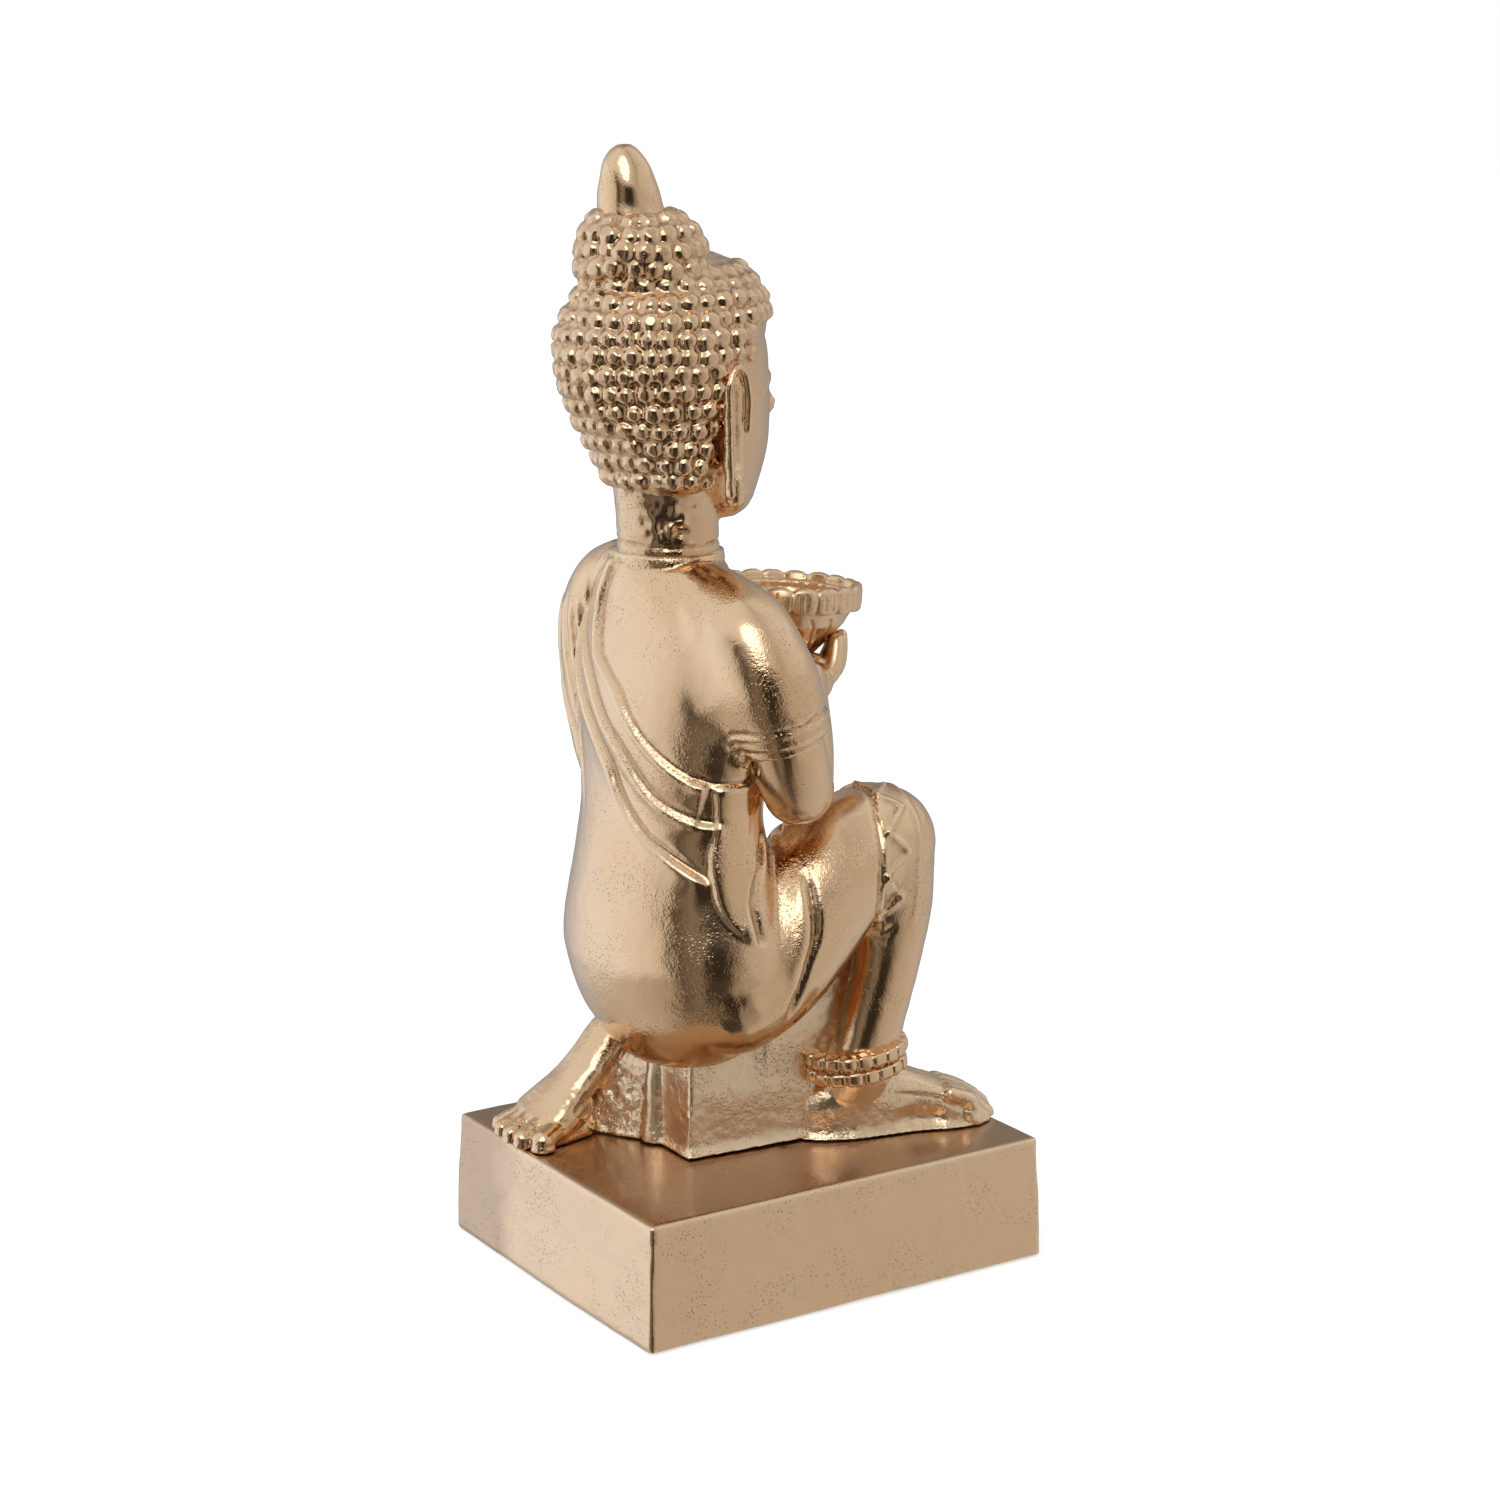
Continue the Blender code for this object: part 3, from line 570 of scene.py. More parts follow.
def cut_off(obj, height, keep):
    """Saws a piece off level at a height and closes the cut; keep is 1 for what is above, -1 for below."""
    bm = bmesh.new()
    bm.from_mesh(obj.data)
    cut = bmesh.ops.bisect_plane(bm, geom=bm.verts[:] + bm.edges[:] + bm.faces[:], dist=1e-7,
                                 plane_co=(0, 0, height * MM), plane_no=(0, 0, keep), clear_inner=True)
    rim = [edge for edge in cut["geom_cut"] if isinstance(edge, bmesh.types.BMEdge) and edge.is_boundary]
    bmesh.ops.triangle_fill(bm, edges=rim, use_beauty=True)
    bmesh.ops.recalc_face_normals(bm, faces=bm.faces)
    bm.to_mesh(obj.data)
    bm.free()


def neck_ring(radius, y, z, tilt):
    """Stops round the neck, tilted a little from side to side."""
    return [(radius * math.cos(a), y + radius * math.sin(a), z + tilt * math.cos(a))
            for a in np.radians(np.arange(0, 361, 30))]


bm = bmesh.new()
stack(bm, TORSO)
for mirror in (True, False):
    limb(bm, SLEEVE, mirror=mirror, ends=(True, False))
shoulders = filled_shoulders(bm)
bm = bmesh.new()
add_mesh(bm, shoulders)
stack(bm, TORSO)
for side in (-1, 1):
    limb(bm, [(side * 20, 32, 247, 14, 13), (side * 33, 31, 238, 15, 14), (side * 40, 29, 228, 14, 13)])
for mirror in (True, False):
    limb(bm, SLEEVE, mirror=mirror, ends=(True, False))
for stations in (ROBE_DRAPE, RIGHT_THIGH, RIGHT_SHIN, LEFT_THIGH, LEFT_SHIN):
    limb(bm, stations)
body = one_skin("body_casting", bm, voxel=1.08, relax=5)

# the robe's edge from the right armpit across the back to the left of the neck, its turn under the armpit,
# and two long folds below it
worked(body, [
    ([(-40, 40, 186), (-36, 45, 188), (-29, 50, 193), (-21, 54, 200), (-14, 56, 208), (-7, 56, 216),
      (0, 56, 221), (8, 54, 227), (12, 51, 240), (9, 50, 251), (3, 50, 260)], hem(1.1, 13), 1.7, 16, 0.04),
    ([(-46, 22, 189), (-44, 27, 186), (-42, 36, 185.5), (-35, 46, 188)], fold(2.6, 0.9), 1.6, 8, 0.15),
    ([(-42, 33, 171), (-38, 42, 172), (-30, 49, 176), (-24, 53, 180), (-18, 55, 186), (-10, 57, 195),
      (0, 58, 204), (10, 56, 217), (27, 49, 236), (27, 46, 254)], fold(3.6, 1.3), 2.0, 12, 0.1),
    ([(-43, 40, 151), (-38, 46, 155), (-29, 52, 161), (-22, 54.5, 165), (-15, 56, 171), (-8, 57, 179),
      (-2, 57, 189), (7, 57, 198), (17, 55, 208), (32, 48, 226), (31, 48, 248)],
     fold(4.0, 1.3), 2.1, 12, 0.1),
])

# folds that hang from the left shoulder, down the back and over the chest
lines = []
for i in range(4):
    back = [(16 + 7.5 * i, 54 - 7 * i, 165 + 3 * i), (27 + 5 * i, 50 - 5 * i, 190),
            (36 + 4.4 * i, 47 - 4 * i, 212), (37 + 4.0 * i, 48 - 4 * i, 232),
            (33 + 4.2 * i, 46 - 3 * i, 246 - 3 * i)]
    lines.append((back, fold(2.8, 1.1), 1.1, 7, 0.22))
for i in range(6):
    chest = [(26 + 4 * i, 14 + 3 * i, 250 - 3 * i), (26 + 2 * i, 5, 232 - 5 * i),
             (6 + 2 * i, -2, 212 - 7 * i), (-16 + i, -1, 196 - 8 * i), (-31, 2, 187 - 8 * i)]
    lines.append((chest, fold(2.8, 1.0), 1.4, 9, 0.14))
worked(body, lines)

worked(body, [
    # the gathered cloth that hangs from the right armpit to a point on the hip
    ([(-42, 38, 187), (-42, 37, 180), (-41.5, 37, 171), (-41, 39, 161), (-43.5, 39, 151),
      (-46, 38, 144), (-49, 34, 137), (-51, 26, 130)], step(1.1, 9), 1.6, 12, 0.1),
    ([(-38, 14, 167), (-40, 17, 162), (-45, 23, 154), (-48, 27, 146), (-50, 27, 138), (-51.5, 25, 130)],
     ridge(1.9), -2.6, 8, 0.14),
    ([(-41, 21, 160), (-46, 26, 151), (-50, 29.5, 141), (-52, 28, 131)], ridge(2.2), 1.1, 8, 0.2),
    # the fold over the hip
    ([(-45, 4, 154), (-50.5, 4.6, 144), (-53, 4.7, 137), (-54, 5.6, 130), (-54.5, 8.7, 122),
      (-53, 12, 111), (-49, 15, 100)], ridge(1.5), -2.3, 8, 0.16),
    ([(-46, 8, 154), (-51, 9, 144), (-54, 9.5, 133), (-55, 12, 122), (-53, 16, 110)],
     ridge(3.0), 0.8, 8, 0.2),
    # the hem line under the hips
    ([(-44, -12, 112), (-40, 8, 92), (-30, 28, 82), (-15, 42, 80), (0, 47, 81), (20, 42, 82), (38, 26, 88)],
     ridge(0.9), -0.5, 6, 0.1),
    # wrinkles on the raised thigh and at the bend of the knee
    ([(-40, -20, 120), (-46, -24, 126), (-48, -30, 134)], ridge(1.4), -1.0, 7, 0.2),
    ([(-38, -23, 117), (-44, -28, 121), (-46, -36, 127)], ridge(1.2), -0.8, 7, 0.2),
])

# sleeve hems: two turned bands on each sleeve with a small ruffle on the outside
lines = []
for side in (-1, 1):
    for rise, width, height in ((0, 0.8, -0.9), (2.2, 1.0, 0.7), (6.6, 0.8, 0.8), (8.2, 0.8, -0.8)):
        ring = []
        for a in np.radians(np.arange(-200, 161, 30)):
            y = 17.5 + 16 * math.sin(a)
            ring.append((side * (50.4 + 16 * math.cos(a)), y, 202.5 + rise + (17.5 - y) * 0.24))
        lines.append((ring, ridge(width), height, 5, 0.03))
    ruffle = [(side * 63, 24, 212), (side * 66, 20, 211), (side * 66, 15, 214.5), (side * 65, 10, 216)]
    lines.append((ruffle, fold(1.6, 0.7), 0.9, 5, 0.25))
worked(body, lines)

# trouser hem at the raised knee: a double welt, a second welt, and a zigzag braid that stands higher and
# higher along its length
KNEE_WELT = [(-10, -26, 150), (-13, -27, 162), (-22, -28, 172), (-36, -29, 173.5), (-44, -26, 168),
             (-48, -25, 162), (-51, -24, 154), (-52, -23, 143), (-48, -25, 133), (-40, -30, 124)]
SECOND_WELT = [(-18, -44, 166), (-28, -43, 173), (-40, -42, 171), (-45, -42, 166), (-49, -41.5, 151),
               (-47, -43, 136), (-45, -42, 124)]
BRAID = [(-20, -38, 172), (-26, -30, 174.5), (-32, -38, 174), (-38, -30, 172.5), (-43, -38, 169.5),
         (-48, -28, 162.5), (-50, -36.5, 155.5), (-52, -25.5, 147.5), (-47.5, -36, 138), (-43, -28, 128)]
worked(body, [
    (KNEE_WELT, ridge(0.9), -1.1, 6, 0.08),
    ([(x, y - 2.2, z) for x, y, z in KNEE_WELT], ridge(1.0), 0.8, 6, 0.08),
    (SECOND_WELT, ridge(1.1), 0.7, 6, 0.12),
] + [([a, b], ridge(1.1), min(1.4, 0.5 + 0.22 * place), 4, 0, 20)
     for place, (a, b) in enumerate(zip(BRAID, BRAID[1:]))])

# collar line, the wrinkles round the left knee and those across the lap
lines = [(neck_ring(19.5, 31, 258.6, 1.2), ridge(0.8), -0.8, 5, 0)]
for i in range(4):
    wrap = [(56 - i, 2 - 14 * i, 104 - 9 * i), (58 - i, -10 - 10 * i, 84 - 5 * i),
            (52 - i, -12 - 8 * i, 62 - i)]
    lines.append((wrap, fold(2.6, 1.0), 1.2, 8, 0.2))
for i in range(3):
    lap = [(2 + 5 * i, -8 - 9 * i, 112 - 12 * i), (16 + 4 * i, -18 - 10 * i, 104 - 12 * i),
           (34 + 4 * i, -18 - 9 * i, 98 - 11 * i)]
    lines.append((lap, fold(2.4, 1.0), 1.2, 8, 0.2))
worked(body, lines, [(22, 0.35, 6), (5, 0.10, 7)])
buffed = body.modifiers.new("buffed", "SMOOTH")
buffed.factor = 0.45
buffed.iterations = 1
settled(body)
cut_off(body, figure_base, 1)
cut_off(body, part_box("body")[1].z / MM, -1)
finished(body, gold_cast("gold_body", depth=0.07, rough=(0.11, 0.2)), "body")


# ---- Right foot ----
# The planted foot is its own casting, bolted through the plinth from below. Its top is buffed, its sides
# keep the sand skin and spread into a small skirt where they meet the plinth, and the toes are low ridges.

def sole(bm, sections, per_stop=6):
    """A flat-bottomed foot through sections: middle x and y, half width, height of its top."""
    rows = smooth_curve(sections, per_stop)
    along = np.gradient(rows[:, :2], axis=0)
    along /= np.linalg.norm(along, axis=1)[:, None]
    rings = []
    for (x, y, half, top), (dx, dy) in zip(rows, along):
        tall = top - figure_base
        right = [(half + 2.2, 0), (half + 0.8, 1.2), (half, 3.5), (half, 0.5 * tall),
                 (0.94 * half, 0.7 * tall), (0.78 * half, 0.87 * tall), (0.45 * half, 0.97 * tall)]
        outline = right + [(0, tall)] + [(-a, b) for a, b in right[::-1]]
        rings.append([(x + dy * a, y - dx * a, figure_base + b) for a, b in outline])
    skin_rings(bm, rings)


FREE = math.inf
TOES_OUT, TOES_FORWARD = 0.26, 0.9656  # the way the foot points, as its sine and cosine
FRONT_EDGE = -82.6

bm = bmesh.new()
sole(bm, [(-16, -12.5, 5, 58), (-19.5, -17, 9.5, 66), (-22.5, -28, 12, 70.5), (-26, -42, 11.5, 70),
          (-28.5, -52, 11, 66.8), (-31.5, -61, 11.5, 63), (-34, -69, 11.5, 58.5), (-36, -76, 9.5, 53),
          (-37, -80, 7, 50)])
limb(bm, [(-25, -30, 58, 9.5, 13), (-27, -31, 68, 11.5, 13.5), (-28, -31.5, 76, 10, 12),
          (-28.5, -32.5, 84, 8, 9)])
for across, reach, thick in ((7.8, 65.5, 3.5), (2.6, 65, 2.7), (-1.6, 63.5, 2.6), (-5.5, 60.5, 2.5),
                             (-9, 56, 2.4)):
    toe = []
    for far, rise in ((46, 61.5), (54, 58.2), (reach - 3, 52.5), (reach, 49.5)):
        toe.append((-22 - TOES_OUT * far + TOES_FORWARD * across,
                    -20 - TOES_FORWARD * far - TOES_OUT * across,
                    rise - thick + 0.7 - 0.10 * abs(across - 3), thick, thick))
    limb(bm, toe, around=20)
right_foot = one_skin("right_foot_casting", bm, voxel=0.6, relax=8)
crease = [(-36, -40, 62), (-39.5, -52, 60.5), (-43, -63, 57), (-44.5, -72, 53)]
hollow = [(-37, -40, 51), (-40, -52, 51), (-43, -60, 50)]
worked(right_foot, [(crease, fold(2.0, 0.8), 0.7, 6, 0.2), (hollow, ridge(2.6), -1.0, 7, 0.3)],
       [(6, 0.25, 11), (1.8, 0.10, 12)], low=(-FREE, FRONT_EDGE, figure_base))
finished(right_foot, gold_cast("gold_right_foot", depth=0.09, grain=0.8, coarse=0.7, rough=(0.2, 0.3),
                               tone=(0.82, 0.58, 0.36, 1)), "right_foot")


# ---- Left foot ----
# The other foot stands on its toes behind the hips: a smooth instep, the ball of the foot and five toes that
# fan out at the plinth's rear edge. It is bolted from below like the right one.

INSTEP = [(28, 40, 80, 9.5, 8), (28, 47, 72.5, 9.8, 7.5), (29, 55, 64, 11, 7), (30, 63, 57, 14, 7),
          (31, 69, 52.5, 15.5, 5.5)]
BIG_TOE_ROOT = [(24, 57, 57, 7, 6), (22, 63, 53.5, 6.5, 6), (20, 67, 51, 5, 5)]
BALL = [(28, 55, 49, 10, 7), (30, 64, 48, 14, 6), (31, 72, 47, 15, 4.5)]
TOES = [((21, 64, 52), (18, 70, 51), (15.5, 75.5, 49.5), 4.4, 3.8),
        ((26, 64, 54), (24, 73, 52), (22.5, 80, 49), 3.6, 3.0),
        ((31.5, 65, 54), (31, 74, 52), (30, 80.6, 49), 3.4, 2.8),
        ((37, 65, 53.5), (37.5, 73, 51.5), (37.5, 80, 48.8), 3.2, 2.6),
        ((41.5, 65, 52.5), (43.5, 72, 50.5), (44.5, 77.5, 48.5), 3.0, 2.4)]
REAR_EDGE = 83.2

bm = bmesh.new()
limb(bm, INSTEP)
limb(bm, BIG_TOE_ROOT)
for start, knuckle, tip, thick, thin in TOES:
    limb(bm, [(*start, thick, thick), (*knuckle, thick * 0.9, thick * 0.9), (*tip, thin * 1.15, thin * 1.1)],
         around=24)
    limb(bm, [(*tip[:2], 47.5, thin * 1.2, thin * 1.2), (*tip, thin, thin)], around=20)
limb(bm, BALL)
left_foot = one_skin("left_foot_casting", bm, voxel=0.55, relax=3)
worked(left_foot, (), [(6, 0.3, 13), (1.8, 0.12, 14)], low=(-FREE, -FREE, figure_base),
       high=(FREE, REAR_EDGE, FREE))
finished(left_foot, gold_cast("gold_left_foot", depth=0.06, grain=0.9, coarse=0.5), "left_foot")


# ---- Anklet ----
# A cast ring of two rows of square beads on a plain band, slipped over the foot and held between the foot
# and the trouser hem. It is rubbed bright.

def beads_round_oval():
    """Rounded blocks set side by side round an oval ring."""
    tree, given, made = socketed_group(
        "GeometryNodeTree", "Beads round an oval",
        [("Half width", "Float", 0.015), ("Half length", "Float", 0.018), ("Height", "Float", 0.07),
         ("Beads", "Int", 18), ("Bead size", "Vector", (0.005, 0.005, 0.005)), ("Tilt", "Float", 0.0),
         ("Roundness", "Float", 0.35), ("Material", "Material", None)], [("Geometry", "Geometry")])
    scale = put(tree, "ShaderNodeCombineXYZ", {"X": given["Half width"], "Y": given["Half length"], "Z": 1.0})
    turn = put(tree, "ShaderNodeCombineXYZ", {"X": given["Tilt"]})
    lift = put(tree, "ShaderNodeCombineXYZ", {"Z": given["Height"]})
    ring = put(tree, "GeometryNodeCurvePrimitiveCircle", {"Resolution": 96, "Radius": 1.0})
    oval = put(tree, "GeometryNodeTransform", {"Geometry": ring.outputs["Curve"], "Scale": scale.outputs[0]})
    placed = put(tree, "GeometryNodeTransform", {"Geometry": oval.outputs[0], "Rotation": turn.outputs[0],
                                                 "Translation": lift.outputs[0]})
    spots = put(tree, "GeometryNodeCurveToPoints", {"Curve": placed.outputs[0], "Count": given["Beads"]},
                mode="COUNT")
    cube = put(tree, "GeometryNodeMeshCube", {"Size": (1.0, 1.0, 1.0)})
    rounded = put(tree, "GeometryNodeSubdivisionSurface", {"Mesh": cube.outputs["Mesh"], "Level": 2,
                                                           "Edge Crease": given["Roundness"]})
    bead = put(tree, "GeometryNodeTransform", {"Geometry": rounded.outputs[0], "Scale": given["Bead size"]})
    return instances(tree, made, spots.outputs["Points"], bead, given["Material"],
                     {"Rotation": spots.outputs["Rotation"]})


def instances(tree, made, points, shape, material, settings):
    """Ends a tree: a painted copy of the shape on every point, as plain mesh."""
    links = {"Points": points, "Instance": shape.outputs[0], **settings}
    every = put(tree, "GeometryNodeInstanceOnPoints", links)
    real = put(tree, "GeometryNodeRealizeInstances", {"Geometry": every.outputs[0]})
    paint = put(tree, "GeometryNodeSetMaterial", {"Geometry": real.outputs[0], "Material": material})
    feed(tree, made, {"Geometry": paint.outputs[0]})
    return tree


def from_nodes(tree, settings, guide=None):
    """The plain mesh that a Geometry Nodes tree makes with these settings."""
    holder = new_piece("node_holder", guide or bpy.data.meshes.new("node_holder"))
    modifier = holder.modifiers.new("nodes", "NODES")
    modifier.node_group = tree
    for item in tree.interface.items_tree:
        if item.in_out == "INPUT" and item.name in settings:
            modifier[item.identifier] = settings[item.name]
    made = bpy.data.meshes.new_from_object(holder.evaluated_get(bpy.context.evaluated_depsgraph_get()))
    bpy.data.objects.remove(holder)
    return made


BRIGHT_GOLD = gold_cast("gold_anklet", depth=0.03, grain=1.0, coarse=0.3, rough=(0.16, 0.3))
BEADS = beads_round_oval()


def bead_ring(bm, half_width, half_length, height, count, size, shift=(0, 0, 0), **more):
    """Adds an oval ring of beads, with its measures in mm."""
    settings = {"Half width": half_width * MM, "Half length": half_length * MM, "Height": height * MM,
                "Beads": count, "Bead size": tuple(edge * MM for edge in size), "Material": BRIGHT_GOLD}
    add_mesh(bm, from_nodes(BEADS, {**settings, **more}), shift)


ANKLE_X, ANKLE_Y, ANKLE_HALF_WIDTH, ANKLE_HALF_LENGTH = -27.5, -30, 15.2, 18.7
SLOPE = -0.08  # how much the ring tips down towards the heel
BAND = [(-3.2, 69.2), (-1.6, 69.2), (-1.2, 74.4), (-1.6, 79.2), (-3.2, 79.2)]  # outward and up

bm = bmesh.new()
for rise, count, deep in ((77.3, 18, 5.4), (71.4, 17, 5.6)):
    bead_ring(bm, ANKLE_HALF_WIDTH - 1.7, ANKLE_HALF_LENGTH - 1.7, rise, count, (6.4, deep, 6.0),
              (ANKLE_X, ANKLE_Y, 0), Tilt=SLOPE)
turn = np.linspace(0, math.tau, 96, endpoint=False)
skin_rings(bm, [np.c_[ANKLE_X + (ANKLE_HALF_WIDTH + off) * np.cos(turn),
                      ANKLE_Y + (ANKLE_HALF_LENGTH + off) * np.sin(turn),
                      rise + SLOPE * (ANKLE_HALF_LENGTH + off) * np.sin(turn)] for off, rise in BAND],
           closed=False)
anklet = one_skin("anklet_casting", bm, voxel=0.34, relax=2)
worked(anklet, (), [(4, 0.35, 15)])
finished(anklet, BRIGHT_GOLD, "anklet")


# ---- Arms and hands ----
# Each arm is one casting from under the sleeve to the fingertips, pinned up into the sleeve. The elbows are
# buffed bright, and the fingers close from below round the bowl.

UPPER_ARM = [(50, 18.5, 209, 9.5, 9.5), (49.5, 16, 203, 13, 13), (48.5, 13, 194, 13.5, 13.5),
             (45, 7, 183, 12.8, 12.5), (42, 3, 181.5, 11, 11)]
FOREARM = [(45, 7, 182, 12.3, 12.3), (36, 0, 195, 11.5, 11.5), (28, -6, 207, 9.5, 9.5),
           (21, -11, 214, 8.5, 8)]
PALM = [(23, -9, 211.5, 8, 8), (18, -15, 212, 9, 7.5), (12.5, -20, 213.5, 8.5, 6)]
HEEL_OF_HAND = [(15, -18, 213, 6, 6), (13, -20, 216.6, 6.5, 5)]
FINGERS = [((19, -16, 211), (19.2, -24.5, 216), (16, -28.5, 225.5), 3.6),
           ((16, -19, 211), (15.5, -28.5, 216), (12.5, -32.5, 225), 3.4),
           ((12, -21, 211.5), (11, -30.5, 216.5), (8, -36, 225.5), 2.9),
           ((8, -20, 212), (6.5, -29.5, 217), (3.8, -35.5, 224.5), 2.6)]
THUMB = [(22, -9, 213, 4, 4), (23, -9.5, 219, 3.4, 3.4), (20.5, -10, 225.5, 3.0, 3.0)]
for sign, side in ((-1, "right"), (1, "left")):
    mirror = sign < 0
    bm = bmesh.new()
    limb(bm, UPPER_ARM, mirror=mirror, ends=(False, True))
    for stations in (FOREARM, PALM, HEEL_OF_HAND):
        limb(bm, stations, mirror=mirror)
    for start, bend, tip, thick in FINGERS:
        limb(bm, [(*start, thick, thick), (*bend, thick, thick), (*tip, 0.8 * thick, 0.8 * thick)],
             around=20, mirror=mirror)
    limb(bm, THUMB, around=24, mirror=mirror)
    arm = one_skin(side + "_arm_casting", bm, voxel=0.55, relax=4)
    wrist = [(sign * 31, -12, 212), (sign * 32, -4, 215), (sign * 26, 2, 214)]
    worked(arm, [(wrist, ridge(0.9), -0.5, 5, 0.2)], [(12, 0.3, 16)])
    finished(arm, gold_cast("gold_%s_arm" % side, depth=0.03, coarse=0.2, rough=(0.16, 0.3)), side + "_arm")


# ---- Bowl ----
# A small lotus bowl cast in one, with eighteen bulging petals round the rim, ribbed leaves underneath and
# turned rings inside. Two dowels hold it on the hands, tipped a little forward.

BOWL_PROFILE = [
    (0.6, 220.5), (10.3, 220.5), (11.5, 221.6), (16.3, 226.8), (20.5, 232.2), (23.0, 237), (23.8, 239.5),
    (24.0, 242.0), (22.8, 242.4), (21.6, 241), (20.3, 240.4), (19.6, 238.8), (18.6, 238.4), (17.4, 236.2),
    (16.2, 235.9), (14.8, 233.4), (13.2, 232.9), (11, 229.6), (8.5, 228.2), (0.6, 227.4),
]
LEAVES = 16
BOWL_Y, TIP_HEIGHT, TIP_ANGLE = -17.5, 228, math.radians(4)

bm = bmesh.new()
turn = np.linspace(0, math.tau, 120, endpoint=False)
skin_rings(bm, [np.c_[r * np.cos(turn), r * np.sin(turn), np.full(120, z)] for r, z in BOWL_PROFILE])
bead_ring(bm, 24.4, 24.4, 241.8, 18, (4.8, 10.4, 10.6), Roundness=0.25)
bead_ring(bm, 21.6, 21.6, 241.6, 36, (2.4, 3.4, 3.9))
bowl = one_skin("bowl_casting", bm, voxel=0.42, relax=2)
lines = []
for i in range(LEAVES):
    a = math.tau * (i + 0.5) / LEAVES
    leaf = [(r * math.cos(a + bend), r * math.sin(a + bend), z)
            for r, z, bend in ((11.5, 221, 0.3), (15, 225, 0.24), (19, 230, 0.14), (22.5, 235.5, 0))]
    lines.append((leaf, ridge(0.55), -0.5, 3, 0.1, 8))
    for k in (-1, 1):
        b = math.tau * i / LEAVES + k * 0.06
        rib = [(r * math.cos(b), r * math.sin(b), z) for r, z in ((26.6, 238.5), (27, 241.5), (26.6, 245))]
        lines.append((rib, ridge(0.45), -0.3, 2, 0.2, 6))
worked(bowl, lines, [(5, 0.35, 17)])
bowl.data.transform(Matrix.Translation(Vector((0, BOWL_Y, TIP_HEIGHT)) * MM)
                    @ Matrix.Rotation(TIP_ANGLE, 4, "X") @ Matrix.Translation((0, 0, -TIP_HEIGHT * MM)))
finished(bowl, gold_cast("gold_bowl", depth=0.05, grain=0.9, coarse=0.5, rough=(0.18, 0.34)), "bowl")


# ---- Head ----
# Head, curled hair and the upper half of the neck are one casting on a hidden pin. Each curl is a small dome
# in level rows, rubbed bright on top, with sand left in the valleys. The face is plain and calm.

def blob(bm, middle, sizes):
    placed = Matrix.Translation(Vector(middle) * MM) @ Matrix.Diagonal((*(Vector(sizes) * MM), 1))
    bmesh.ops.create_uvsphere(bm, u_segments=28, v_segments=18, radius=1, matrix=placed)


def curls_on_guide():
    """Domes with worn tops on every guide point, along its own direction and of its own size."""
    tree, given, made = socketed_group(
        "GeometryNodeTree", "Curls on guide points",
        [("Guide", "Geometry", None), ("Worn top", "Float", 0.72), ("Uneven", "Float", 0.1),
         ("Seed", "Int", 7), ("Material", "Material", None)], [("Geometry", "Geometry")])
    spots = put(tree, "GeometryNodeMeshToPoints", {"Mesh": given["Guide"]})
    ball = put(tree, "GeometryNodeMeshIcoSphere", {"Radius": 1.0, "Subdivisions": 3})
    here = tree.nodes.new("GeometryNodeInputPosition")
    parts = put(tree, "ShaderNodeSeparateXYZ", {0: here.outputs[0]}).outputs
    worn = maths(tree, "MINIMUM", parts["Z"], given["Worn top"])
    flat = put(tree, "ShaderNodeCombineXYZ", {"X": parts["X"], "Y": parts["Y"], "Z": worn})
    dome = put(tree, "GeometryNodeSetPosition", {"Geometry": ball.outputs["Mesh"],
                                                 "Position": flat.outputs[0]})
    way = put(tree, "GeometryNodeInputNamedAttribute", {"Name": "direction"}, data_type="FLOAT_VECTOR")
    size = put(tree, "GeometryNodeInputNamedAttribute", {"Name": "curl size"}, data_type="FLOAT")
    aimed = put(tree, "FunctionNodeAlignRotationToVector", {"Vector": way.outputs["Attribute"]}, axis="Z")
    chance = put(tree, "FunctionNodeRandomValue", {2: -1.0, 3: 1.0, "Seed": given["Seed"]}, data_type="FLOAT")
    wobble = maths(tree, "MULTIPLY_ADD", chance.outputs[1], given["Uneven"], 1.0)
    grown = maths(tree, "MULTIPLY", wobble, size.outputs["Attribute"])
    return instances(tree, made, spots.outputs[0], dome, given["Material"],
                     {"Rotation": aimed.outputs[0], "Scale": grown})


HAIR = [(283, 0, 35, 20, 14.5, 11), (286, 0, 34, 25.5, 18.5, 15), (292, 0, 33, 28, 22.5, 17),
        (305, 0, 33, 31.5, 30.5, 21), (319, 0, 33, 34.5, 36.5, 27), (332, 0, 33, 35.5, 38.5, 36),
        (341, 0, 33, 34, 37, 39), (350, 0, 32, 30, 32.5, 36.5), (358, 0, 31, 22, 25, 30),
        (363, 0, 29, 11, 14, 18)]
BUN = [(348, 0, 40, 19, 19, 19), (356, 0, 41, 23, 22.5, 22.5), (366, 0, 41, 23, 22.5, 22.5),
       (374, 0, 42, 19.5, 19, 19), (379.5, 0, 43, 12.5, 12.5, 12.5)]
FACE = [(272, 0, 14, 8, 8, 9), (276, 0, 16, 15, 12, 15), (284, 0, 19, 20, 16, 21), (296, 0, 22, 25, 20, 27),
        (308, 0, 23, 28, 20, 28), (320, 0, 24, 29.5, 20, 28.5), (334, 0, 26, 29.5, 20, 29),
        (344, 0, 28, 26, 20, 26)]
NECK = [(250, 0, 31, 18.3, 18.3, 18.3), (272, 0, 31.5, 17.6, 17.6, 18), (290, 0, 33, 18.5, 18, 20)]
SUNK = 0.88  # how much of its radius a curl is sunk into the skull


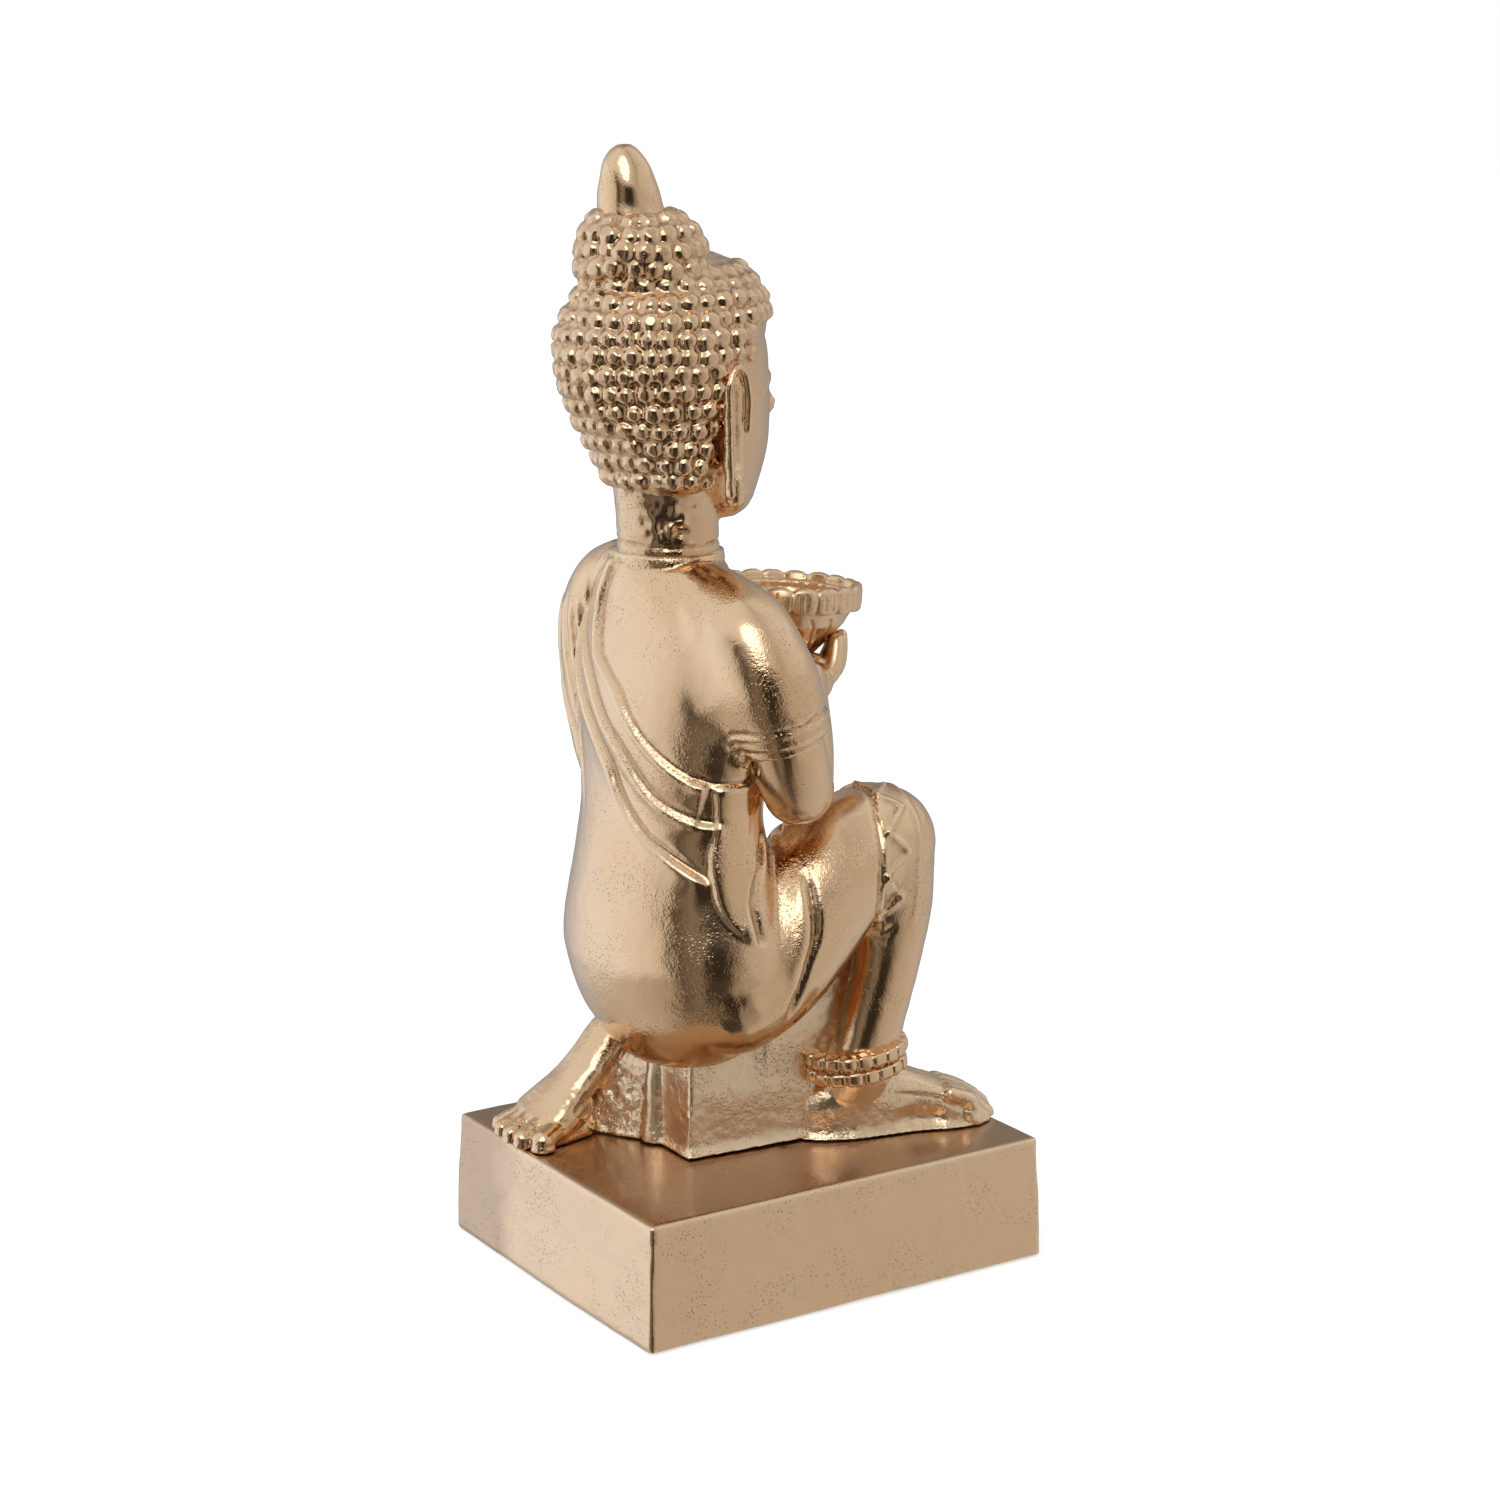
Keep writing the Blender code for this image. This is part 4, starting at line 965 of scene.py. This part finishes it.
def curl_rows(sections, levels, pitch, radius, hairline):
    """Guide points in level rows on a skin through sections, none below the hairline at the face."""
    fine = smooth_curve(sections, 12)
    fine = fine[np.argsort(fine[:, 0])]

    def outline(z):
        return [np.interp(z, fine[:, 0], fine[:, k]) for k in range(1, 6)]

    spots, ways = [], []
    for row, level in enumerate(levels):
        x, y, half, back, front = outline(level)
        turn = np.linspace(0, math.tau, 721)
        depth = np.where(np.sin(turn) > 0, back, front)
        ring = np.c_[x + half * np.cos(turn), y + depth * np.sin(turn)]
        run = np.r_[0, np.cumsum(np.linalg.norm(np.diff(ring, axis=0), axis=1))]
        count = max(3, round(run[-1] / pitch))
        growth = (np.array(outline(level + 1.5)) - outline(level - 1.5))[2:]
        for k in range(count):
            astray = noise.noise(Vector((k * 1.7, row * 3.1, pitch)))
            where = (k + 0.5 * (row % 2) + 0.22 * astray) / count * run[-1] % run[-1]
            a = np.interp(where, run, turn)
            px, py = np.interp(where, run, ring[:, 0]), np.interp(where, run, ring[:, 1])
            if level < hairline(px, py):
                continue
            behind = math.sin(a) > 0
            way = Vector((math.cos(a) / half, math.sin(a) / (back if behind else front), 0)).normalized()
            way.z = -(growth[0] + (growth[1] if behind else growth[2])) / 6
            way.normalize()
            rise = 0.55 * noise.noise(Vector((k * 0.9, row * 1.3, 5))) + 0.5 * math.sin(a * 3 + row)
            spots.append((px - way.x * radius * SUNK, py - way.y * radius * SUNK,
                          level + rise - way.z * radius * SUNK))
            ways.append(tuple(way))
    return spots, ways


def guide_mesh(spots, ways, radius):
    mesh = bpy.data.meshes.new("guide")
    mesh.from_pydata([Vector(spot) * MM for spot in spots], [], [])
    mesh.attributes.new("direction", "FLOAT_VECTOR", "POINT").data.foreach_set("vector", np.ravel(ways))
    sizes = np.full(len(spots), radius * MM)
    mesh.attributes.new("curl size", "FLOAT", "POINT").data.foreach_set("value", sizes)
    return mesh


def hairline(x, y):
    """The lowest curl at each place: the nape behind the ears, the temples, then the top of the forehead."""
    if y > 27:
        return 280
    if y > 12:
        return 318 + (27 - y) * 1.1
    return 339


bm = bmesh.new()
stack(bm, [(z, x, y, max(half - 2.1, 3), max(back - 2.1, 3), max(front - 2.1, 3))
           for z, x, y, half, back, front in HAIR])
stack(bm, [(z, x, y, half - 2.7, back - 2.7, front - 2.7) for z, x, y, half, back, front in BUN[:-1]])
stack(bm, [(370, 0, 43, 17, 17, 17), (374, 0, 44, 14, 14, 14), (378.4, 0, 45, 10.5, 10.5, 10.5)])
stack(bm, FACE)
stack(bm, NECK)
CURLS = curls_on_guide()
head_curls = curl_rows(HAIR, np.linspace(286.6, 350, 11), 6.9, 2.9, hairline)
crown_curls = curl_rows(HAIR, [355.4, 359.6], 7.0, 2.9, hairline)
bun_curls = curl_rows(BUN, [352.5, 359, 365.6, 371.8, 376.8], 7.6, 3.4, lambda x, y: 0)
for (spots, ways), radius in ((head_curls, 3.35), (crown_curls, 3.3), (bun_curls, 3.8)):
    guide = guide_mesh(spots, ways, radius)
    add_mesh(bm, from_nodes(CURLS, {"Worn top": 0.84, "Uneven": 0.14, "Seed": 7}, guide))

# nose, nostrils, closed eyes, brows, lips and chin
limb(bm, [(0, -3.2, 319, 2.0, 2.0), (0, -4.6, 309, 2.1, 2.3), (0, -6.2, 300, 2.7, 2.6),
          (0, -6.3, 297.8, 2.8, 2.3)], around=24)
for side in (-1, 1):
    blob(bm, (side * 3.4, -3.8, 297.6), (2.0, 2.3, 1.9))
    blob(bm, (side * 11.5, 0.2, 312), (6.6, 3.6, 4.1))
    limb(bm, [(side * 3, -3.9, 317.5, 1.2, 1.2), (side * 10, -2.2, 321.6, 1.4, 1.3),
              (side * 18, 1.8, 320.2, 1.2, 1.2), (side * 23.5, 7.2, 315.5, 0.7, 0.7)], around=20)
UPPER_LIP = [(-7.6, -2.0, 290.2, 0.7, 0.7), (-3.4, -3.9, 291.4, 1.5, 1.4), (0, -4.3, 290.7, 1.4, 1.3),
             (3.4, -3.9, 291.4, 1.5, 1.4), (7.6, -2.0, 290.2, 0.7, 0.7)]
LOWER_LIP = [(-5.8, -2.2, 288.2, 0.8, 0.8), (0, -3.4, 286.9, 1.9, 1.6), (5.8, -2.2, 288.2, 0.8, 0.8)]
for lip in (UPPER_LIP, LOWER_LIP):
    limb(bm, lip, around=20, side=(0, 0, 1))
blob(bm, (0, 3.6, 280), (8, 6, 5.5))
head = one_skin("head_casting", bm, voxel=0.74, relax=1)
lines = []
for side in (-1, 1):
    lid = [(side * 4.8, -4.6, 312.6), (side * 11.5, -6, 309.9), (side * 18.2, -2, 311.6)]
    upper = [(side * 5, -4.6, 314), (side * 11.5, -5.4, 316.3), (side * 18, -1.6, 313.8)]
    lines += [(lid, ridge(0.6), -0.6, 4, 0.15), (upper, ridge(0.7), -0.35, 4, 0.2)]
mouth = [(-7.6, -3, 289.7), (-3, -6, 289.5), (0, -6.6, 289.1), (3, -6, 289.5), (7.6, -3, 289.7)]
lines += [(mouth, ridge(0.6), -0.7, 4, 0.12), (neck_ring(18, 31.3, 265.5, 0.8), ridge(0.7), -0.6, 4, 0)]
places, normals = surface(head)
for stops, shape, height, reach, fade in lines:
    places = pressed(places, normals, line_on(head, stops), shape, height, reach, fade)
# the nape was dressed by hand and left in shallow facets
nape = np.exp(-(((places - (-14, 38, 273)) / (9, 9, 7)) ** 2).sum(1))
places += (uneven(places, normals, (3.4, 1.5, 24)) - places) * nape[:, None]
places = uneven(places, normals, (14, 0.25, 18))
in_hair = np.clip((places[:, 1] - 10) / 8, 0, 1) + np.clip((places[:, 2] - 338) / 4, 0, 1)
places += (uneven(places, normals, (2.6, 0.25, 19)) - places) * np.minimum(in_hair, 1)[:, None]
places[:, 2] = np.minimum(places[:, 2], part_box("head")[1].z / MM)
reshape(head, places)
cut_off(head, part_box("head")[0].z / MM, 1)
finished(head, gold_cast("gold_head", depth=0.05, grain=0.9, coarse=0.5, rough=(0.09, 0.2),
                         tone=(0.68, 0.43, 0.235, 1)), "head")


# ---- Ears ----
# Long-lobed ears, each a separate small casting let into the side of the head, with a raised rim round a
# hollow and a thick lobe.

EAR = [(29.9, 22.8, 280.4, 3.0, 2.4), (30.7, 22.8, 285, 4.6, 3.2), (31.0, 23.4, 293, 4.4, 2.2),
       (31.2, 23.8, 303, 4.6, 2.0), (31.6, 24.0, 314, 5.2, 2.0), (31.6, 24.0, 321, 4.8, 2.0),
       (31.0, 23.6, 326, 3.0, 1.4)]
RIM = [(32.6, 26.6, 284), (33.4, 27.4, 294), (34.0, 28.0, 304), (34.6, 28.6, 314), (34.4, 28.2, 321.5),
       (33.2, 24.6, 327), (32.0, 20.4, 324), (31.8, 19.0, 316), (31.6, 19.2, 306)]
for sign, side in ((-1, "right"), (1, "left")):
    bm = bmesh.new()
    rearward = (0.3 * sign, 0.954, 0)
    limb(bm, [(sign * x, y, z, wide, deep) for x, y, z, wide, deep in EAR], side=rearward)
    limb(bm, [(sign * 28, 22, z, 3.4, 4) for z in (292, 305, 320)], side=rearward)
    limb(bm, [(sign * x, y, z, 1.3, 2.0) for x, y, z in RIM], around=20, side=rearward)
    limb(bm, [(sign * 31, 23.6, 282.5, 3.8, 3.4), (sign * 31.4, 24, 288.5, 3.6, 3.0)], around=24)
    ear = one_skin(side + "_ear_casting", bm, voxel=0.36, relax=3)
    hollow = [(sign * 35, y, z) for y, z in ((24.4, 322), (24.4, 312), (23.6, 302), (23.2, 292))]
    worked(ear, [(hollow, ridge(2.0), -1.5, 6, 0.15)], [(5, 0.4, 20)])
    finished(ear, gold_cast("gold_%s_ear" % side, depth=0.06, rough=(0.1, 0.22)), side + "_ear")


# ---- Finial ----
# The smooth flame on top of the bun, a separate casting on a short pin. It has been filed round by hand and
# buffed, which left broad soft facets.

FLAME = [(368, 43.5, 13), (374, 44.4, 12.2), (380, 45.2, 11.1), (386, 46, 9.9), (392.5, 46.8, 8),
         (397, 47.3, 5.4), (399.4, 47.5, 2.8), (399.9, 47.5, 0.8)]  # height, middle y and radius
bm = bmesh.new()
stack(bm, [(z, 0, y, radius, radius, radius) for z, y, radius in FLAME])
finial = one_skin("finial_casting", bm, voxel=0.4, relax=8)
worked(finial, (), [(9, 0.6, 21)], high=(FREE, FREE, cad_high.z / MM))
finished(finial, gold_cast("gold_finial", depth=0.015, coarse=0.2, rough=(0.06, 0.14)), "finial")


# ---- Studio ----
# A pale sweep of paper, a wide soft light overhead and to both sides, and dark gaps beside the camera that
# shape the polished metal. The camera stands behind the right shoulder and looks a little down.

TURN, DROP, SWING = math.radians(-122.66), math.radians(13.04), math.radians(0.108)
CAMERA_DISTANCE, CAMERA_HEIGHT = 1.1101, 0.4435
back_way = Vector((math.sin(TURN), -math.cos(TURN), 0))
right_way = Vector((math.cos(TURN), math.sin(TURN), 0))

camera_data = bpy.data.cameras.new("camera")
camera_data.lens = 76.8
camera_data.sensor_width = 36
camera = new_piece("camera", camera_data)
camera.location = back_way * CAMERA_DISTANCE + Vector((0, 0, CAMERA_HEIGHT))
level = -back_way * math.cos(SWING) + right_way * math.sin(SWING)
aim = level * math.cos(DROP) - Vector((0, 0, math.sin(DROP)))
camera.rotation_mode = "QUATERNION"
camera.rotation_quaternion = aim.to_track_quat("-Z", "Y")
bpy.context.scene.camera = camera

bm = bmesh.new()
bmesh.ops.create_grid(bm, x_segments=1, y_segments=1, size=6)
floor_mesh = bpy.data.meshes.new("floor")
bm.to_mesh(floor_mesh)
bm.free()
floor = new_piece("floor", floor_mesh)
floor.visible_glossy = False
paper, tree, shader, _ = new_material("floor_paper")
seen = tree.nodes.new("ShaderNodeLightPath").outputs["Is Camera Ray"]
feed(tree, shader, {"Base Color": (0.85, 0.85, 0.85, 1), "Roughness": 0.9, "Specular IOR Level": 0.1,
                    "Emission Color": (1, 1, 1, 1), "Emission Strength": maths(tree, "MULTIPLY", seen, 0.48)})
floor.data.materials.append(paper)

world = bpy.data.worlds.new("studio")
bpy.context.scene.world = world
world.use_nodes = True
sky = world.node_tree
sky.nodes.clear()
look = sky.nodes.new("ShaderNodeTexCoord").outputs["Generated"]


def along_way(way):
    """How far a look goes along a way: 1 straight along it, 0 square to it."""
    return put(sky, "ShaderNodeVectorMath", {0: look, 1: way}, operation="DOT_PRODUCT").outputs["Value"]


angle = maths(sky, "ARCTAN2", along_way(right_way), along_way(back_way))
turn = ranged(sky, angle, -math.pi, math.pi)
height = put(sky, "ShaderNodeSeparateXYZ", {0: look}).outputs["Z"]


def ring_of_light(stops):
    """Light round the room: degrees to the right of the camera, and how bright; the dim parts are warmer."""
    ramp = put(sky, "ShaderNodeValToRGB", {"Fac": turn})
    elements = ramp.color_ramp.elements
    for degrees, light in stops[1:-1]:
        elements.new((degrees + 180) / 360)
    for element, (degrees, light) in zip(elements, stops):
        warm, cool = max(0, 0.6 - light) * 0.5, max(0, light - 0.6) * 0.65
        element.position = (degrees + 180) / 360
        element.color = (light, light * (1 - 0.5 * warm + 0.4 * cool), light * (1 - warm + cool), 1)
    return ramp.outputs["Color"]


FLOOR_LIGHT = [(-180, 0.35), (-120, 0.6), (-90, 0.62), (-60, 0.5), (-50, 0.4), (-43, 0.12), (-36, 0.12),
               (-30, 0.24), (-15, 0.24), (-9, 0.06), (19, 0.07), (26, 0.28), (40, 0.4), (60, 0.55),
               (110, 0.65), (150, 0.5), (180, 0.35)]
LEVEL_LIGHT = [(-180, 0.22), (-155, 0.5), (-120, 1.0), (-85, 0.97), (-62, 0.8), (-50, 0.66), (-44, 0.10),
               (-36, 0.08), (-30, 0.24), (-15, 0.24), (-9, 0.03), (19, 0.04), (24, 0.28), (32, 0.34),
               (40, 0.56), (58, 0.6), (100, 0.66), (125, 0.6), (155, 0.42), (180, 0.22)]
HIGH_LIGHT = [(-180, 0.3), (-150, 0.5), (-110, 0.85), (-70, 0.88), (-20, 0.82), (0, 0.74), (30, 0.68),
              (44, 0.5), (56, 0.68), (100, 0.78), (120, 0.8), (150, 0.55), (180, 0.3)]
# the rings meet at heights given as sines
lower = mixed(sky, ranged(sky, height, -0.52, -0.34, soft=True), ring_of_light(FLOOR_LIGHT),
              ring_of_light(LEVEL_LIGHT))
room = mixed(sky, ranged(sky, height, 0.22, 0.36, soft=True), lower, ring_of_light(HIGH_LIGHT))
LAMP_SIDE, LAMP_RISE, LAMP_EDGE, LAMP_CORE = (math.radians(degrees) for degrees in (-4, 38, 19, 14))
lamp_way = (back_way * math.cos(LAMP_SIDE) + right_way * math.sin(LAMP_SIDE)) * math.cos(LAMP_RISE)
lamp_way.z = math.sin(LAMP_RISE)
spot = ranged(sky, along_way(lamp_way), math.cos(LAMP_EDGE), math.cos(LAMP_CORE), soft=True)
lit = put(sky, "ShaderNodeBackground", {"Color": mixed(sky, spot, room, (2.6, 2.7, 2.8, 1)), "Strength": 1.0})
plain = put(sky, "ShaderNodeBackground", {"Color": (1, 1, 1, 1), "Strength": 1.0})
seen = sky.nodes.new("ShaderNodeLightPath").outputs["Is Camera Ray"]
both = put(sky, "ShaderNodeMixShader", {0: seen, 1: lit.outputs[0], 2: plain.outputs[0]})
put(sky, "ShaderNodeOutputWorld", {"Surface": both.outputs[0]})

bpy.context.scene.view_settings.view_transform = "Standard"
